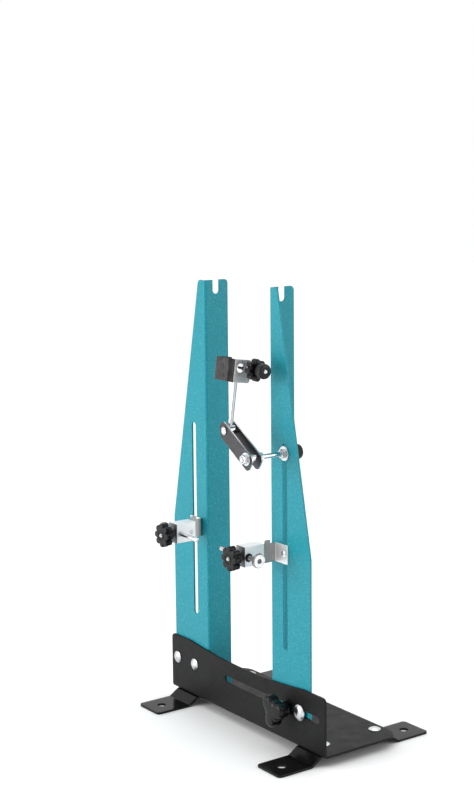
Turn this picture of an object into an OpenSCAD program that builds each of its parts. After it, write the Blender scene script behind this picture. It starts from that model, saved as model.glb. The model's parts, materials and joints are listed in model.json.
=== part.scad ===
// Bicycle wheel truing stand. A folded sheet base stands on two foot strips and carries a
// fixed post and a post that slides along a slot. Each post has an open dropout for the
// axle and a rim gauge in its slot, and the sliding post also has a brake rotor gauge on
// a jointed arm.
// +X runs along the axle towards the sliding post, -Y is the front and +Z is up. The
// origin is the centre of the four foot holes, on the bench.

/* [Base] */
// Length of the folded base, along the axle
base_l = 328; // [310:1:380]
// Depth of the base's tray
base_d = 121; // [105:1:150]
// Sheet thickness of the base
base_t = 3; // [2:0.5:4]
// Inner radius of the base's fold
base_fold_r = 1.5; // [1:0.5:3]
// Distance of the front plate from the middle of the foot holes
base_front = 58; // [45:1:70]
// Height of the front plate's top edge above the bench
front_h = 87; // [78:1:110]
// Depth of the dip in the front plate's top edge
front_dip = 7.5; // [2:0.5:12]
// Length of the dip in the front plate's top edge
front_dip_l = 240; // [160:5:280]
// Corner radius at the front plate's upper corners
front_corner_r = 6; // [2:1:12]
// Corner radius at the tray's rear corners
rear_corner_r = 22; // [6:1:40]
// Length of the slot that guides the sliding post
guide_slot_l = 194; // [190:1:220]
// Width of the slot that guides the sliding post
guide_slot_w = 8.5; // [8.3:0.1:10]
// Gap between the slot's right end and the base's right end
guide_slot_inset = 11; // [8:1:20]
// Height of the post bolts above the bench
post_bolt_z = 56.5; // [45:0.5:62]

/* [Feet] */
// Distance of a foot strip's middle from the base's end
foot_inset = 33; // [28:1:60]
// Width of a foot strip
foot_w = 46; // [30:1:56]
// Length of a foot strip
foot_l = 238; // [226:1:260]
// Thickness of a foot strip
foot_t = 3; // [2:0.5:5]
// How far a strip's middle stands above its ends
foot_rise = 8.9; // [7:0.1:14]
// Slope of a strip's ramps, in degrees
foot_ramp_angle = 33; // [25:1:45]
// Inner radius of a strip's folds
foot_fold_r = 3; // [2:0.5:5]
// How far a strip's raised middle reaches past the rear foot bolts
foot_past_bolt = 5.5; // [5.5:0.5:12]
// Corner radius at a strip's ends
foot_corner_r = 5; // [2:1:12]
// Distance between the front and rear foot holes
foot_hole_pitch = 196; // [190:1:204]
// Diameter of a foot hole
foot_hole_d = 11; // [6:0.5:14]
// Shank diameter of the bolts that hold the feet
foot_bolt_d = 6; // [4:0.5:8]
// Head diameter of the bolts that hold the feet
foot_bolt_head_d = 15.5; // [12:0.5:18]
// Head height of the bolts that hold the feet
foot_bolt_head_h = 3.2; // [2:0.1:5]
// Distance of the front foot bolts from the front plate
foot_bolt_front = 25; // [20:1:40]
// Distance of the rear foot bolts from the tray's rear edge
foot_bolt_rear = 14; // [10:1:24]

/* [Posts] */
// Height of the posts' tops above the bench
post_top_z = 570; // [560:1:600]
// Gap between the two posts' webs, where the hub goes
hub_gap = 135; // [125:1:150]
// Distance of the fixed post's web from the base's left end
fixed_post_inset = 83.65; // [80:0.05:90]
// Depth of a post's web
post_web_d = 36; // [28:1:50]
// Sheet thickness of a post
post_t = 2.5; // [2:0.5:4]
// Inner radius of a post's fold
post_fold_r = 1; // [0.5:0.5:3]
// Width of a post's flange at its foot
post_foot_w = 78; // [76:1:82]
// Width of a post's flange at its top
post_top_w = 15; // [12:1:30]
// Height at which a post starts to narrow
post_taper_z = 250; // [200:5:300]
// Corner radius at a post's top
post_corner_r = 5; // [2:1:8]
// Gap between a post's lower end and the tray
post_foot_gap = 2; // [1.6:0.1:4]
// Distance of a post's slot from its web's inner face
post_slot_u = 29; // [27:0.5:34]
// Width of a post's slot
post_slot_w = 8.5; // [7:0.5:10]
// Height of the slot's lower end
post_slot_z0 = 126; // [110:1:150]
// Height of the slot's upper end
post_slot_z1 = 384; // [380:1:390]
// Height of the wheel axle
axle_z = 557; // [545:1:562]
// Diameter of an axle end that fits the dropouts
axle_d = 10; // [9:0.5:14]
// Distance of the axle from the fixed post's front face
axle_back = 17.7; // [15:0.1:20]
// Shank diameter of the bolts that hold the fixed post
post_bolt_d = 6; // [5:0.5:8]
// Head diameter of the bolts that hold the fixed post
post_bolt_head_d = 15.5; // [12:0.5:18]
// Head height of the bolts that hold the fixed post
post_bolt_head_h = 3.4; // [2:0.1:5]
// Distance of the fixed post's inner bolt from its web's inner face
post_bolt_u = 30; // [24:1:40]
// Distance between the fixed post's two bolts
post_bolt_pitch = 40; // [30:1:41]
// Gap between the sliding post and the plates it slides along
slide_gap = 0.2; // [0.1:0.05:0.4]
// Shank diameter of the sliding post's two bolts
slide_bolt_d = 8; // [6:0.5:8]
// Distance of the guide bolt from the web's inner face
guide_bolt_u = 61; // [58:0.5:66]
// Head diameter of the guide bolt
guide_head_d = 20; // [16:0.5:24]
// Head height of the guide bolt
guide_head_h = 5; // [3:0.5:7]
// Distance of the clamp bolt from the web's inner face
clamp_bolt_u = 37.5; // [34:0.5:40]
// Diameter over the clamp knob's lobes
clamp_knob_d = 43; // [36:1:44]
// Thickness of the clamp knob
clamp_knob_t = 16; // [12:1:20]
// Distance of the clamp knob's middle from the front plate
clamp_knob_out = 20; // [19:0.5:28]
// Diameter of the clamp knob's hub
clamp_hub_d = 16; // [14:0.5:22]

/* [Rim gauges] */
// Height of the gauges' bolts and feelers above the bench
gauge_z = 247.5; // [200:0.5:280]
// Sheet thickness of a gauge bracket
bracket_t = 2; // [1.5:0.5:3]
// Height of a gauge bracket
bracket_h = 23.6; // [20:0.1:26]
// Distance of the bracket's folded arm from the web's inner face
bracket_u = 10.9; // [10:0.1:13]
// Width of the bracket's plate on the post
bracket_w = 25.5; // [23:0.5:30]
// Inner radius of the bracket's fold
bracket_fold_r = 1; // [0.5:0.5:2]
// Height of the bracket's small stop tab
tab_h = 4.5; // [2:0.5:6]
// Width of the stop tab
tab_w = 8; // [4:0.5:8]
// Distance of the gauge block's rear face from the post
block_back = 21; // [20:0.5:30]
// Length of a gauge block, front to back
block_l = 29; // [26:0.5:36]
// Width of a gauge block, along the axle
block_w = 18; // [16:0.5:24]
// Height of a gauge block
block_h = 25; // [20:0.5:30]
// How far the bracket's arm reaches into the block
block_seat = 13; // [9:0.5:14]
// Thickness of the block's outer cheek beside the bracket's arm
block_cheek = 2; // [1.5:0.5:3]
// Diameter of a feeler screw
feeler_d = 6; // [5:0.5:7]
// Distance of the feeler screw from the block's front face
feeler_inset = 5.4; // [5.2:0.1:7]
// How far a feeler screw reaches past the web's inner face
feeler_reach = 44.6; // [30:0.1:50]
// How far a feeler screw's thumb disc stands out from the web's inner face
feeler_out = 37.4; // [32:0.1:44]
// Diameter of the thumb disc
thumb_d = 17.5; // [14:0.5:20]
// Thickness of the thumb disc
thumb_t = 5; // [4:0.5:7]
// Outer diameter of the bush that guides the feeler screw
bush_d = 8.6; // [8:0.1:9]
// Diameter of the bush's flange
bush_flange_d = 10.4; // [9.4:0.1:10.4]
// Diameter over a lock knob's lobes
lock_knob_d = 31; // [24:1:34]
// Thickness of a lock knob
lock_knob_t = 10; // [8:0.5:14]
// Gap between the block and the lock knob's boss
lock_knob_gap = 2; // [1:0.5:4]
// Length of the lock knob's boss
lock_boss_l = 6.5; // [4:0.5:10]
// Diameter of the lock knob's stud
lock_stud_d = 5; // [4:0.5:6]
// Head diameter of the screw that holds a gauge on its post
gauge_head_d = 9; // [8:0.5:11]
// Shank diameter of the screw that holds a gauge on its post
gauge_bolt_d = 6; // [5:0.5:6.5]
// Diameter of the round clamp knobs behind the posts
round_knob_d = 18.5; // [16:0.5:22]
// Thickness of the round clamp knobs
round_knob_t = 13; // [10:0.5:16]
// Length of a round knob's neck
round_neck_l = 5; // [3:0.5:8]
// Diameter of a round knob's neck
round_neck_d = 12; // [10:0.5:14]

/* [Rotor gauge] */
// Height of the arm's rod above the bench
arm_z = 372; // [368:1:374]
// Diameter of the arm's two rods
rod_d = 6; // [5:0.5:6.5]
// Distance of the link's middle plane from the post
link_out = 48.75; // [40:0.25:60]
// Free space between the link's two plates
link_space = 11.5; // [10:0.5:14]
// Thickness of a link plate
link_t = 2.5; // [2:0.5:3]
// Distance between the link's two pivots
link_l = 52; // [44:1:60]
// Slope of the link, in degrees
link_angle = 32.5; // [20:0.5:45]
// Width of the link above its pivots
link_above = 8; // [6:0.5:10]
// Width of the link below its pivots
link_below = 12; // [8:0.5:14]
// How far a link plate reaches past each pivot
link_end = 10.5; // [8:0.5:12]
// Size of the front plate's cut corner
link_chamfer = 9; // [4:0.5:12]
// Diameter of the link's pivot bolt
pivot_d = 5; // [4:0.5:6]
// Diameter of the swivel barrel on the pivot bolt
barrel_d = 13; // [11:0.5:14]
// Length of the upright rod, from its pivot
upright_l = 67; // [64:1:68]
// Lean of the upright rod towards the wheel, in degrees
upright_lean = 8; // [0:1:12]
// Height of the fork's lower edge along the upright rod
fork_z = 58; // [54:1:60]
// Height of the fork
fork_h = 28; // [26:1:32]
// Width of the fork, along the axle
fork_w = 40.5; // [36:0.5:48]
// Depth of the fork's sides
fork_d = 24.7; // [23:0.1:30]
// Sheet thickness of the fork
fork_t = 2; // [1.5:0.5:3]
// Inner radius of the fork's folds
fork_fold_r = 1.5; // [1:0.5:3]
// Distance of the fork's outer face from the upright rod's axis
fork_side = 6.5; // [6.1:0.1:8]
// Distance of the fork's front face from the upright rod's axis
fork_front = 8.2; // [7.2:0.1:9]
// Diameter of the sight hole in the fork
sight_d = 11; // [6:0.5:12]
// Distance of the sight hole behind the upright rod's axis
sight_y = 1.4; // [0.5:0.1:2]
// Height of the sight hole and the rotor feeler above the fork's lower edge
fork_hole_z = 17.6; // [17:0.1:19]
// Diameter of the rotor feeler screw
rotor_screw_d = 5; // [4:0.5:5]
// Distance of the rotor feeler behind the upright rod's axis
rotor_screw_y = 11.5; // [11.2:0.1:12.4]
// How far the rotor feeler reaches in from the upright rod's axis
rotor_reach = 12.7; // [8:0.1:16]
// Diameter over the rotor lock knob's lobes
rotor_lock_d = 27.5; // [22:0.5:30]
// Bare thread between the fork and the rotor lock knob
rotor_bare_l = 7.8; // [6:0.1:12]
// Length of the rotor lock knob's hub
rotor_hub_l = 4; // [2:0.5:6]

/* [Clearances] */
// Gap between flat faces that slide or turn on each other
face_gap = 0.1; // [0.05:0.05:0.2]
// Radial clearance of a shaft that turns or slides in its hole
run_gap = 0.05; // [0.03:0.01:0.1]
// Radial clearance of a bolt in a plain hole or nut
bolt_gap = 0.1; // [0.05:0.05:0.3]
// Gap between a lock stud's end and the feeler screw it bears on
stud_gap = 0.3; // [0.2:0.05:0.5]

/* [Hidden] */
$fn = 64;

LEFT = -1;
RIGHT = 1;
eps = 0.01;                 // overlap of joined faces
past = 1;                   // how far a cut runs past a face
fold_steps = 6;             // flats along a foot strip's fold
corner_steps = 10;          // flats along a post's upper corner
hex_corner = 1 / cos(30);   // corner-to-corner width of a hexagon over its flats

// Base
tray_z = foot_rise + foot_t;
tray_top_z = tray_z + base_t;
front_y = -base_front;
flange_y = front_y + base_t;
slot_x1 = base_l / 2 - guide_slot_inset;
slot_x0 = slot_x1 - guide_slot_l;
dip_r = (pow(front_dip_l / 2, 2) + pow(front_dip, 2)) / (2 * front_dip);
foot_x = base_l / 2 - foot_inset;
foot_xs = [-foot_x, foot_x];
foot_bolt_ys = [front_y + foot_bolt_front, front_y + base_d - foot_bolt_rear];
foot_nut_af = 10;
foot_nut_h = 5;
foot_raised_half = foot_bolt_ys[1] + foot_past_bolt;

// Foot strip folds: the straight ramp between the two folds, and where the flat end starts
foot_fold_gap = 2 * foot_fold_r + foot_t;
foot_ramp_l = (foot_rise - foot_fold_gap * (1 - cos(foot_ramp_angle))) / sin(foot_ramp_angle);
foot_flat_y = foot_raised_half + foot_ramp_l * cos(foot_ramp_angle)
    + foot_fold_gap * sin(foot_ramp_angle);

// Posts
hub_gap_x = -base_l / 2 + fixed_post_inset + hub_gap / 2;
post_z0 = tray_top_z + post_foot_gap;
post_slope = atan((post_foot_w - post_top_w) / (post_top_z - post_taper_z));
post_corner_l = post_corner_r / tan((90 + post_slope) / 2);
fixed_bolt_us = [post_bolt_u, post_bolt_u + post_bolt_pitch];
post_nut_af = 10;
post_nut_h = 5;
slide_nut_af = 13;
slide_nut_h = 6.5;
clamp_head_h = 5.3;
clamp_washer_d = 20;
clamp_washer_t = 1.6;
bolt_proud = 1.5;           // thread that shows past a nut
end_gap = 0.5;              // gap at a screw's end in a blind hole
plate_v = -base_t - slide_gap;                       // front plate, in the sliding post's frame
clamp_hub_v = plate_v - slide_gap - clamp_washer_t - face_gap;
clamp_hub_l = clamp_hub_v - plate_v + clamp_knob_out - clamp_knob_t / 2;
clamp_lobe_d = 17;
clamp_core_d = 27;
clamp_lobe_angle = 135;     // direction of the knob's first lobe, seen from the front
clamp_reach = 2;            // how far the clamp bolt ends past its knob's middle
clamp_bolt_end = plate_v - clamp_knob_out - clamp_reach;

// Rim gauges, in each post's own frame
arm_back_v = -block_back - block_seat;
block_u0 = bracket_u + bracket_t + block_cheek - block_w;
block_u1 = block_u0 + block_w;
block_mid_u = (block_u0 + block_u1) / 2;
block_v0 = -block_back - block_l;
block_lift = 0.8;
feeler_v = block_v0 + feeler_inset;
bush_flange_t = 1.5;
bush_l = 4;
tab_mid = 14;
tab_corner_r = 1.5;
feeler_tip_l = 3;
feeler_tip_d = 2.5;
thumb_edge = 0.8;
disc_recess = 0.4;          // how far a screw's end lies inside its knob's outer face
block_screw_d = 3;
block_screw_head_d = 5.5;
block_screw_head_h = 1.8;
block_screw_v = -block_back - block_seat / 2;
gauge_head_h = 1.8;
washer_t = 1.5;
washer_d = 14;
round_knob_v = post_t + face_gap + washer_t;
round_grip_l = 8;           // screw thread held inside a round knob
lock_boss_v = block_v0 - lock_knob_gap;
lock_boss_d = 12;
lock_lobes = 8;
lock_lobe_d = 7.5;
lock_core_d = 24;
lock_stud_proud = 1.5;
lock_stud_tip_d = 3;

// Rotor gauge, in the sliding post's own frame
big_washer_d = 18;
rod_nut_af = 10;
rod_nut_h = 5;
link_washer_d = 16;
link_washer_t = 1.2;
link_front_v = -link_out - link_space / 2 - link_t;
link_rear_v = -link_out + link_space / 2 + link_t;
rod_proud = 0.8;
rod_end_v = link_front_v - face_gap - link_washer_t - rod_nut_h - rod_proud;
spacer_d = 10;
link_corner_r = 5;
pivot_head_d = 10;
pivot_head_h = 3.2;
pivot_nut_af = 8;
pivot_nut_h = 4;
barrel_wall = 1.3;          // between the pivot bolt's bore and the upright rod's end
barrel_seat_r = pivot_d / 2 + barrel_wall;
socket_h = 10;
socket_back = 6;
socket_side = 6;
rotor_nut_af = 8;
rotor_nut_h = 4;
fork_corner_r = 3;
rotor_lock_t = 10;
rotor_hub_d = 12;
rotor_lobe_d = 6.5;
rotor_core_d = 21;
rotor_knob_gap = 0.5;
rotor_neck_l = 3.5;
rotor_knob_t = 10;
rotor_proud = 1.2;
rotor_lock_x = fork_side + rotor_bare_l;
rotor_neck_x = rotor_lock_x + rotor_hub_l + rotor_lock_t + rotor_knob_gap;
rotor_end_x = rotor_neck_x + rotor_neck_l + rotor_knob_t + rotor_proud;

// Finishes
black_coat = "#2b2b2c";
teal_coat = "#1f93a4";
bright_zinc = "#c9cbcc";
satin_alloy = "#b9bbbd";
dark_steel = "#5f6163";
black_plastic = "#1b1b1c";

// ---- Shapes that repeat ----

// Points along an arc, from angle a0 to a1
function arc_points(centre, r, a0, a1, steps) =
    [for (i = [0 : steps]) let (a = a0 + (a1 - a0) * i / steps) centre + r * [cos(a), sin(a)]];

// Rectangle with four equal round corners
module round_rect(x0, x1, y0, y1, r) {
    translate([x0 + r, y0]) square([x1 - x0 - 2 * r, y1 - y0]);
    translate([x0, y0 + r]) square([x1 - x0, y1 - y0 - 2 * r]);
    for (x = [x0 + r, x1 - r], y = [y0 + r, y1 - r]) translate([x, y]) circle(r);
}

// What a square corner loses when it is rounded; the corner points to +X and +Y
module corner_waste(r) {
    translate([-r, -r]) difference() {
        square(r + past);
        circle(r);
    }
}

// The children, and their mirror image across X = 0
module both_sides() {
    children();
    mirror([1, 0, 0]) children();
}

// Slot along X between two end points
module slot_shape(x0, x1, w) {
    translate([x0 + w / 2, -w / 2]) square([x1 - x0 - w, w]);
    for (x = [x0 + w / 2, x1 - w / 2]) translate([x, 0]) circle(d = w);
}

// Part of a ring between two angles under 180 degrees apart
module ring_sector(r0, r1, a0, a1) {
    reach = 2 * r1;
    intersection() {
        difference() {
            circle(r1);
            circle(r0);
        }
        polygon([[0, 0], for (a = [a0, (a0 + a1) / 2, a1]) reach * [cos(a), sin(a)]]);
    }
}

// Sheet folded to an L: legs along +X and +Y, outer corner at the origin
module angle_profile(leg_x, leg_y, t, r) {
    outer = r + t;
    translate([outer, 0]) square([leg_x - outer, t]);
    translate([0, outer]) square([t, leg_y - outer]);
    translate([outer, outer]) ring_sector(r, outer, 180, 270);
}

// Extrudes a shape drawn in X and Z from y0 over a thickness
module xz_plate(y0, t) {
    translate([0, y0 + t, 0]) rotate([90, 0, 0]) linear_extrude(t) children();
}

// Extrudes a shape drawn in Y and Z from x0 over a thickness
module yz_plate(x0, t) {
    translate([x0, 0, 0]) rotate([90, 0, 90]) linear_extrude(t) children();
}

// Rod along +Y from the origin
module y_rod(d, l) {
    rotate([-90, 0, 0]) cylinder(h = l, d = d);
}

// Rod along +X from the origin
module x_rod(d, l) {
    rotate([0, 90, 0]) cylinder(h = l, d = d);
}

// Low domed bolt head on the XY plane, pointing to +Z
module dome_head(d, h) {
    cap_r = (d * d / 4 + h * h) / (2 * h);
    intersection() {
        translate([0, 0, h - cap_r]) sphere(cap_r);
        translate([-d, -d, 0]) cube([2 * d, 2 * d, h + past]);
    }
}

// Domed bolt: the head points to +Z from the origin, the shank to -Z
module dome_bolt(head_d, head_h, d, l) {
    dome_head(head_d, head_h);
    translate([0, 0, -l]) cylinder(h = l + head_h / 2, d = d);
}

// Hexagon nut from the origin to +Z
module hex_nut(af, h, d) {
    difference() {
        cylinder(h = h, d = af * hex_corner, $fn = 6);
        translate([0, 0, -eps]) cylinder(h = h + 2 * eps, d = d + 2 * bolt_gap);
    }
}

// Plain washer from the origin to +Z
module washer(d, h, hole_d) {
    difference() {
        cylinder(h = h, d = d);
        translate([0, 0, -eps]) cylinder(h = h + 2 * eps, d = hole_d + 2 * bolt_gap);
    }
}

// Outline of a hand knob with round lobes
module lobed_shape(d, lobes, lobe_d, core_d) {
    neck_w = 0.72 * lobe_d;
    circle(d = core_d);
    for (i = [0 : lobes - 1]) rotate(360 * i / lobes) {
        translate([(d - lobe_d) / 2, 0]) circle(d = lobe_d);
        translate([0, -neck_w / 2]) square([(d - lobe_d) / 2, neck_w]);
    }
}

// Round clamp knob from the origin to +Z, neck first, with a blind hole for its screw
module round_knob(d, t, neck_d, neck_l, hole_d, hole_l) {
    edge = 1.6;
    difference() {
        rotate_extrude() {
            square([neck_d / 2, neck_l + eps]);
            translate([0, neck_l]) square([d / 2 - edge, t]);
            translate([0, neck_l + edge]) square([d / 2, t - 2 * edge]);
            for (y = [neck_l + edge, neck_l + t - edge])
                translate([d / 2 - edge, y]) circle(edge, $fn = 32);
        }
        translate([0, 0, -eps]) cylinder(h = hole_l, d = hole_d + 2 * bolt_gap);
    }
}

// Frame of a post: +X outwards from its web's inner face, +Y back from its flange's front
module post_frame(side) {
    translate([hub_gap_x + side * hub_gap / 2, flange_y + (side == RIGHT ? slide_gap : 0), 0])
        if (side == LEFT) mirror([1, 0, 0]) children();
        else children();
}

// Frame of a rim gauge: a post's frame raised to the gauge's screw
module gauge_frame(side) {
    post_frame(side) translate([0, 0, gauge_z]) children();
}

// Frame of the arm: on the axis of the rod through the sliding post's slot
module arm_frame() {
    post_frame(RIGHT) translate([post_slot_u, 0, arm_z]) children();
}

// Frame of the pivot bolt, on its axis in the middle of the link
module pivot_frame() {
    arm_frame() translate([-link_l * cos(link_angle), -link_out, link_l * sin(link_angle)])
        children();
}

// Frame of the rotor gauge: +Z up the leaning rod, from its pivot
module rotor_frame() {
    pivot_frame() rotate([-upright_lean, 0, 0]) children();
}

// Frame of the rotor feeler, on its axis beside the upright rod
module rotor_screw_frame() {
    rotor_frame() translate([0, rotor_screw_y, fork_z + fork_hole_z]) children();
}

// ---- Base ----

module base_tray() color(black_coat) difference() {
    yz_plate(-base_l / 2, base_l) translate([front_y, tray_z])
        angle_profile(base_d, front_h - tray_z, base_t, base_fold_r);
    xz_plate(front_y - past, base_t + 2 * past) {
        translate([0, front_h - front_dip + dip_r]) circle(dip_r, $fn = 256);
        both_sides() translate([base_l / 2, front_h]) corner_waste(front_corner_r);
        translate([0, post_bolt_z]) slot_shape(slot_x0, slot_x1, guide_slot_w);
        for (u = fixed_bolt_us) translate([hub_gap_x - hub_gap / 2 - u, post_bolt_z])
            circle(d = post_bolt_d + 2 * bolt_gap);
    }
    translate([0, 0, tray_z - past]) linear_extrude(base_t + 2 * past) {
        both_sides() translate([base_l / 2, front_y + base_d]) corner_waste(rear_corner_r);
        for (x = foot_xs, y = foot_bolt_ys)
            translate([x, y]) circle(d = foot_bolt_d + 2 * bolt_gap);
    }
}

// ---- Feet ----

// Side view of a foot strip
module foot_profile() {
    outer_r = foot_fold_r + foot_t;
    upper = [foot_raised_half, foot_rise - foot_fold_r];
    lower = [foot_flat_y, outer_r];
    half = concat(
        arc_points(upper, outer_r, 90, 90 - foot_ramp_angle, fold_steps),
        arc_points(lower, foot_fold_r, 270 - foot_ramp_angle, 270, fold_steps),
        [[foot_l / 2, foot_t], [foot_l / 2, 0]],
        arc_points(lower, outer_r, 270, 270 - foot_ramp_angle, fold_steps),
        arc_points(upper, foot_fold_r, 90 - foot_ramp_angle, 90, fold_steps)
    );
    polygon(concat(half, [for (i = [len(half) - 1 : -1 : 0]) [-half[i].x, half[i].y]]));
}

module foot_strip(x) color(black_coat) translate([x, 0, 0]) difference() {
    intersection() {
        yz_plate(-foot_w / 2, foot_w) foot_profile();
        translate([0, 0, -past]) linear_extrude(tray_z + 2 * past)
            round_rect(-foot_w / 2, foot_w / 2, -foot_l / 2, foot_l / 2, foot_corner_r);
    }
    for (y = [-foot_hole_pitch / 2, foot_hole_pitch / 2])
        translate([0, y, -past]) cylinder(h = foot_t + 2 * past, d = foot_hole_d);
    for (y = foot_bolt_ys) translate([0, y, foot_rise - past])
        cylinder(h = foot_t + 2 * past, d = foot_bolt_d + 2 * bolt_gap);
}

module left_foot() foot_strip(-foot_x);

module right_foot() foot_strip(foot_x);

module foot_bolts() color(bright_zinc)
    for (x = foot_xs, y = foot_bolt_ys) translate([x, y, tray_top_z])
        dome_bolt(foot_bolt_head_d, foot_bolt_head_h, foot_bolt_d,
                  base_t + foot_t + foot_nut_h + bolt_proud);

module foot_nuts() color(bright_zinc)
    for (x = foot_xs, y = foot_bolt_ys) translate([x, y, foot_rise - foot_nut_h])
        hex_nut(foot_nut_af, foot_nut_h, foot_bolt_d);

// ---- Posts ----

// Outline of a post's flange: +X outwards from the web, +Y up
module post_outline() polygon(concat(
    [[0, post_z0], [post_foot_w, post_z0], [post_foot_w, post_taper_z]],
    arc_points([post_top_w - post_corner_l, post_top_z - post_corner_r], post_corner_r,
               post_slope, 90, corner_steps),
    [[0, post_top_z]]
));

// Folded sheet post in its own frame, with bolt holes at the given distances from the web
// and its dropout at a depth behind the flange's front
module post_sheet(bolt_us, bolt_d, dropout_v) difference() {
    intersection() {
        linear_extrude(post_top_z + past)
            angle_profile(post_foot_w, post_web_d, post_t, post_fold_r);
        xz_plate(-past, post_web_d + 2 * past) post_outline();
    }
    xz_plate(-past, post_t + 2 * past) {
        translate([post_slot_u, post_slot_z0]) rotate(90)
            slot_shape(0, post_slot_z1 - post_slot_z0, post_slot_w);
        for (u = bolt_us) translate([u, post_bolt_z]) circle(d = bolt_d + 2 * bolt_gap);
    }
    yz_plate(-past, post_t + 2 * past) {
        translate([dropout_v, axle_z]) circle(d = axle_d);
        translate([dropout_v - axle_d / 2, axle_z]) square([axle_d, post_top_z - axle_z + past]);
        translate([post_web_d, post_top_z]) corner_waste(post_corner_r);
    }
}

module fixed_post() color(teal_coat)
    post_frame(LEFT) post_sheet(fixed_bolt_us, post_bolt_d, axle_back);

module fixed_post_bolts() color(bright_zinc)
    for (u = fixed_bolt_us) post_frame(LEFT) translate([u, -base_t, post_bolt_z])
        rotate([90, 0, 0]) dome_bolt(post_bolt_head_d, post_bolt_head_h, post_bolt_d,
                                     base_t + post_t + post_nut_h + bolt_proud);

module fixed_post_nuts() color(bright_zinc)
    for (u = fixed_bolt_us) post_frame(LEFT) translate([u, post_t, post_bolt_z])
        rotate([-90, 0, 0]) hex_nut(post_nut_af, post_nut_h, post_bolt_d);

module sliding_post() color(teal_coat)
    post_frame(RIGHT) post_sheet([guide_bolt_u, clamp_bolt_u], slide_bolt_d, axle_back - slide_gap);

module guide_bolt() color(bright_zinc)
    post_frame(RIGHT) translate([guide_bolt_u, plate_v - slide_gap, post_bolt_z])
        rotate([90, 0, 0]) dome_bolt(guide_head_d, guide_head_h, slide_bolt_d,
                                     base_t + 2 * slide_gap + post_t + slide_nut_h + bolt_proud);

module guide_nut() color(bright_zinc)
    post_frame(RIGHT) translate([guide_bolt_u, post_t, post_bolt_z])
        rotate([-90, 0, 0]) hex_nut(slide_nut_af, slide_nut_h, slide_bolt_d);

module clamp_bolt() color(bright_zinc)
    post_frame(RIGHT) translate([clamp_bolt_u, post_t, post_bolt_z]) {
        rotate([-90, 0, 0]) cylinder(h = clamp_head_h, d = slide_nut_af * hex_corner, $fn = 6);
        translate([0, clamp_bolt_end - post_t, 0])
            y_rod(slide_bolt_d, post_t - clamp_bolt_end + clamp_head_h / 2);
    }

module clamp_washer() color(bright_zinc)
    post_frame(RIGHT) translate([clamp_bolt_u, plate_v - slide_gap, post_bolt_z])
        rotate([90, 0, 0]) washer(clamp_washer_d, clamp_washer_t, slide_bolt_d);

module clamp_knob() color(black_plastic)
    post_frame(RIGHT) translate([clamp_bolt_u, clamp_hub_v, post_bolt_z]) rotate([90, 0, 0])
        difference() {
            union() {
                cylinder(h = clamp_hub_l + eps, d = clamp_hub_d);
                translate([0, 0, clamp_hub_l]) linear_extrude(clamp_knob_t) rotate(clamp_lobe_angle)
                    lobed_shape(clamp_knob_d, 3, clamp_lobe_d, clamp_core_d);
            }
            translate([0, 0, -eps])
                cylinder(h = clamp_hub_v - clamp_bolt_end + end_gap,
                         d = slide_bolt_d + 2 * bolt_gap);
        }

// ---- Rim gauges ----

module gauge_bracket(side) color(satin_alloy) gauge_frame(side) difference() {
    union() {
        translate([bracket_u, -face_gap, -bracket_h / 2]) linear_extrude(bracket_h)
            mirror([0, 1]) angle_profile(bracket_w, -arm_back_v - face_gap, bracket_t, bracket_fold_r);
        yz_plate(bracket_u, bracket_t)
            round_rect(-tab_mid - tab_w / 2, -tab_mid + tab_w / 2,
                       bracket_h / 2 - 2 * tab_corner_r, bracket_h / 2 + tab_h, tab_corner_r);
    }
    xz_plate(-bracket_t - past, bracket_t + 2 * past) translate([post_slot_u, 0])
        circle(d = gauge_bolt_d + 2 * bolt_gap);
    yz_plate(bracket_u - past, bracket_t + 2 * past) translate([block_screw_v, 0])
        circle(d = block_screw_d + 2 * bolt_gap);
}

module gauge_block(side) color(satin_alloy) gauge_frame(side) difference() {
    translate([block_u0, block_v0, block_lift - block_h / 2]) cube([block_w, block_l, block_h]);
    translate([bracket_u, arm_back_v, -block_h]) cube([bracket_t, block_seat + past, 2 * block_h]);
    translate([block_u0 - past, feeler_v, 0]) x_rod(feeler_d + 2 * run_gap, block_w + 2 * past);
    translate([block_u1 - bush_l, feeler_v, 0]) x_rod(bush_d, bush_l + past);
    translate([block_mid_u, block_v0 - past, 0])
        y_rod(lock_stud_d + 2 * run_gap, feeler_inset + past);
    translate([block_u0 - past, block_screw_v, 0])
        x_rod(block_screw_head_d + 2 * bolt_gap, block_screw_head_h + past);
    translate([block_u0, block_screw_v, 0])
        x_rod(block_screw_d + 2 * bolt_gap, bracket_u + bracket_t - block_u0);
}

module block_screw(side) color(bright_zinc) gauge_frame(side)
    translate([block_u0, block_screw_v, 0]) {
        x_rod(block_screw_head_d, block_screw_head_h);
        x_rod(block_screw_d, bracket_u + bracket_t - block_u0);
    }

module gauge_bolt(side) color(bright_zinc) gauge_frame(side)
    translate([post_slot_u, -face_gap - bracket_t, 0]) rotate([90, 0, 0])
        dome_bolt(gauge_head_d, gauge_head_h, gauge_bolt_d,
                  face_gap + bracket_t + round_knob_v + face_gap + round_grip_l);

module gauge_washer(side) color(bright_zinc) gauge_frame(side)
    translate([post_slot_u, post_t + face_gap, 0]) rotate([-90, 0, 0])
        washer(washer_d, washer_t, gauge_bolt_d);

module rear_knob(hole_d) translate([0, round_knob_v + face_gap, 0]) rotate([-90, 0, 0])
    round_knob(round_knob_d, round_knob_t, round_neck_d, round_neck_l, hole_d,
               round_grip_l + end_gap);

module gauge_knob(side) color(black_plastic) gauge_frame(side)
    translate([post_slot_u, 0, 0]) rear_knob(gauge_bolt_d);

module feeler_bush(side) color(dark_steel) gauge_frame(side)
    translate([block_u1 - bush_l, feeler_v, 0]) difference() {
        union() {
            x_rod(bush_d, bush_l);
            translate([bush_l, 0, 0]) x_rod(bush_flange_d, bush_flange_t);
        }
        translate([-past, 0, 0])
            x_rod(feeler_d + 2 * run_gap, bush_l + bush_flange_t + 2 * past);
    }

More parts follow.
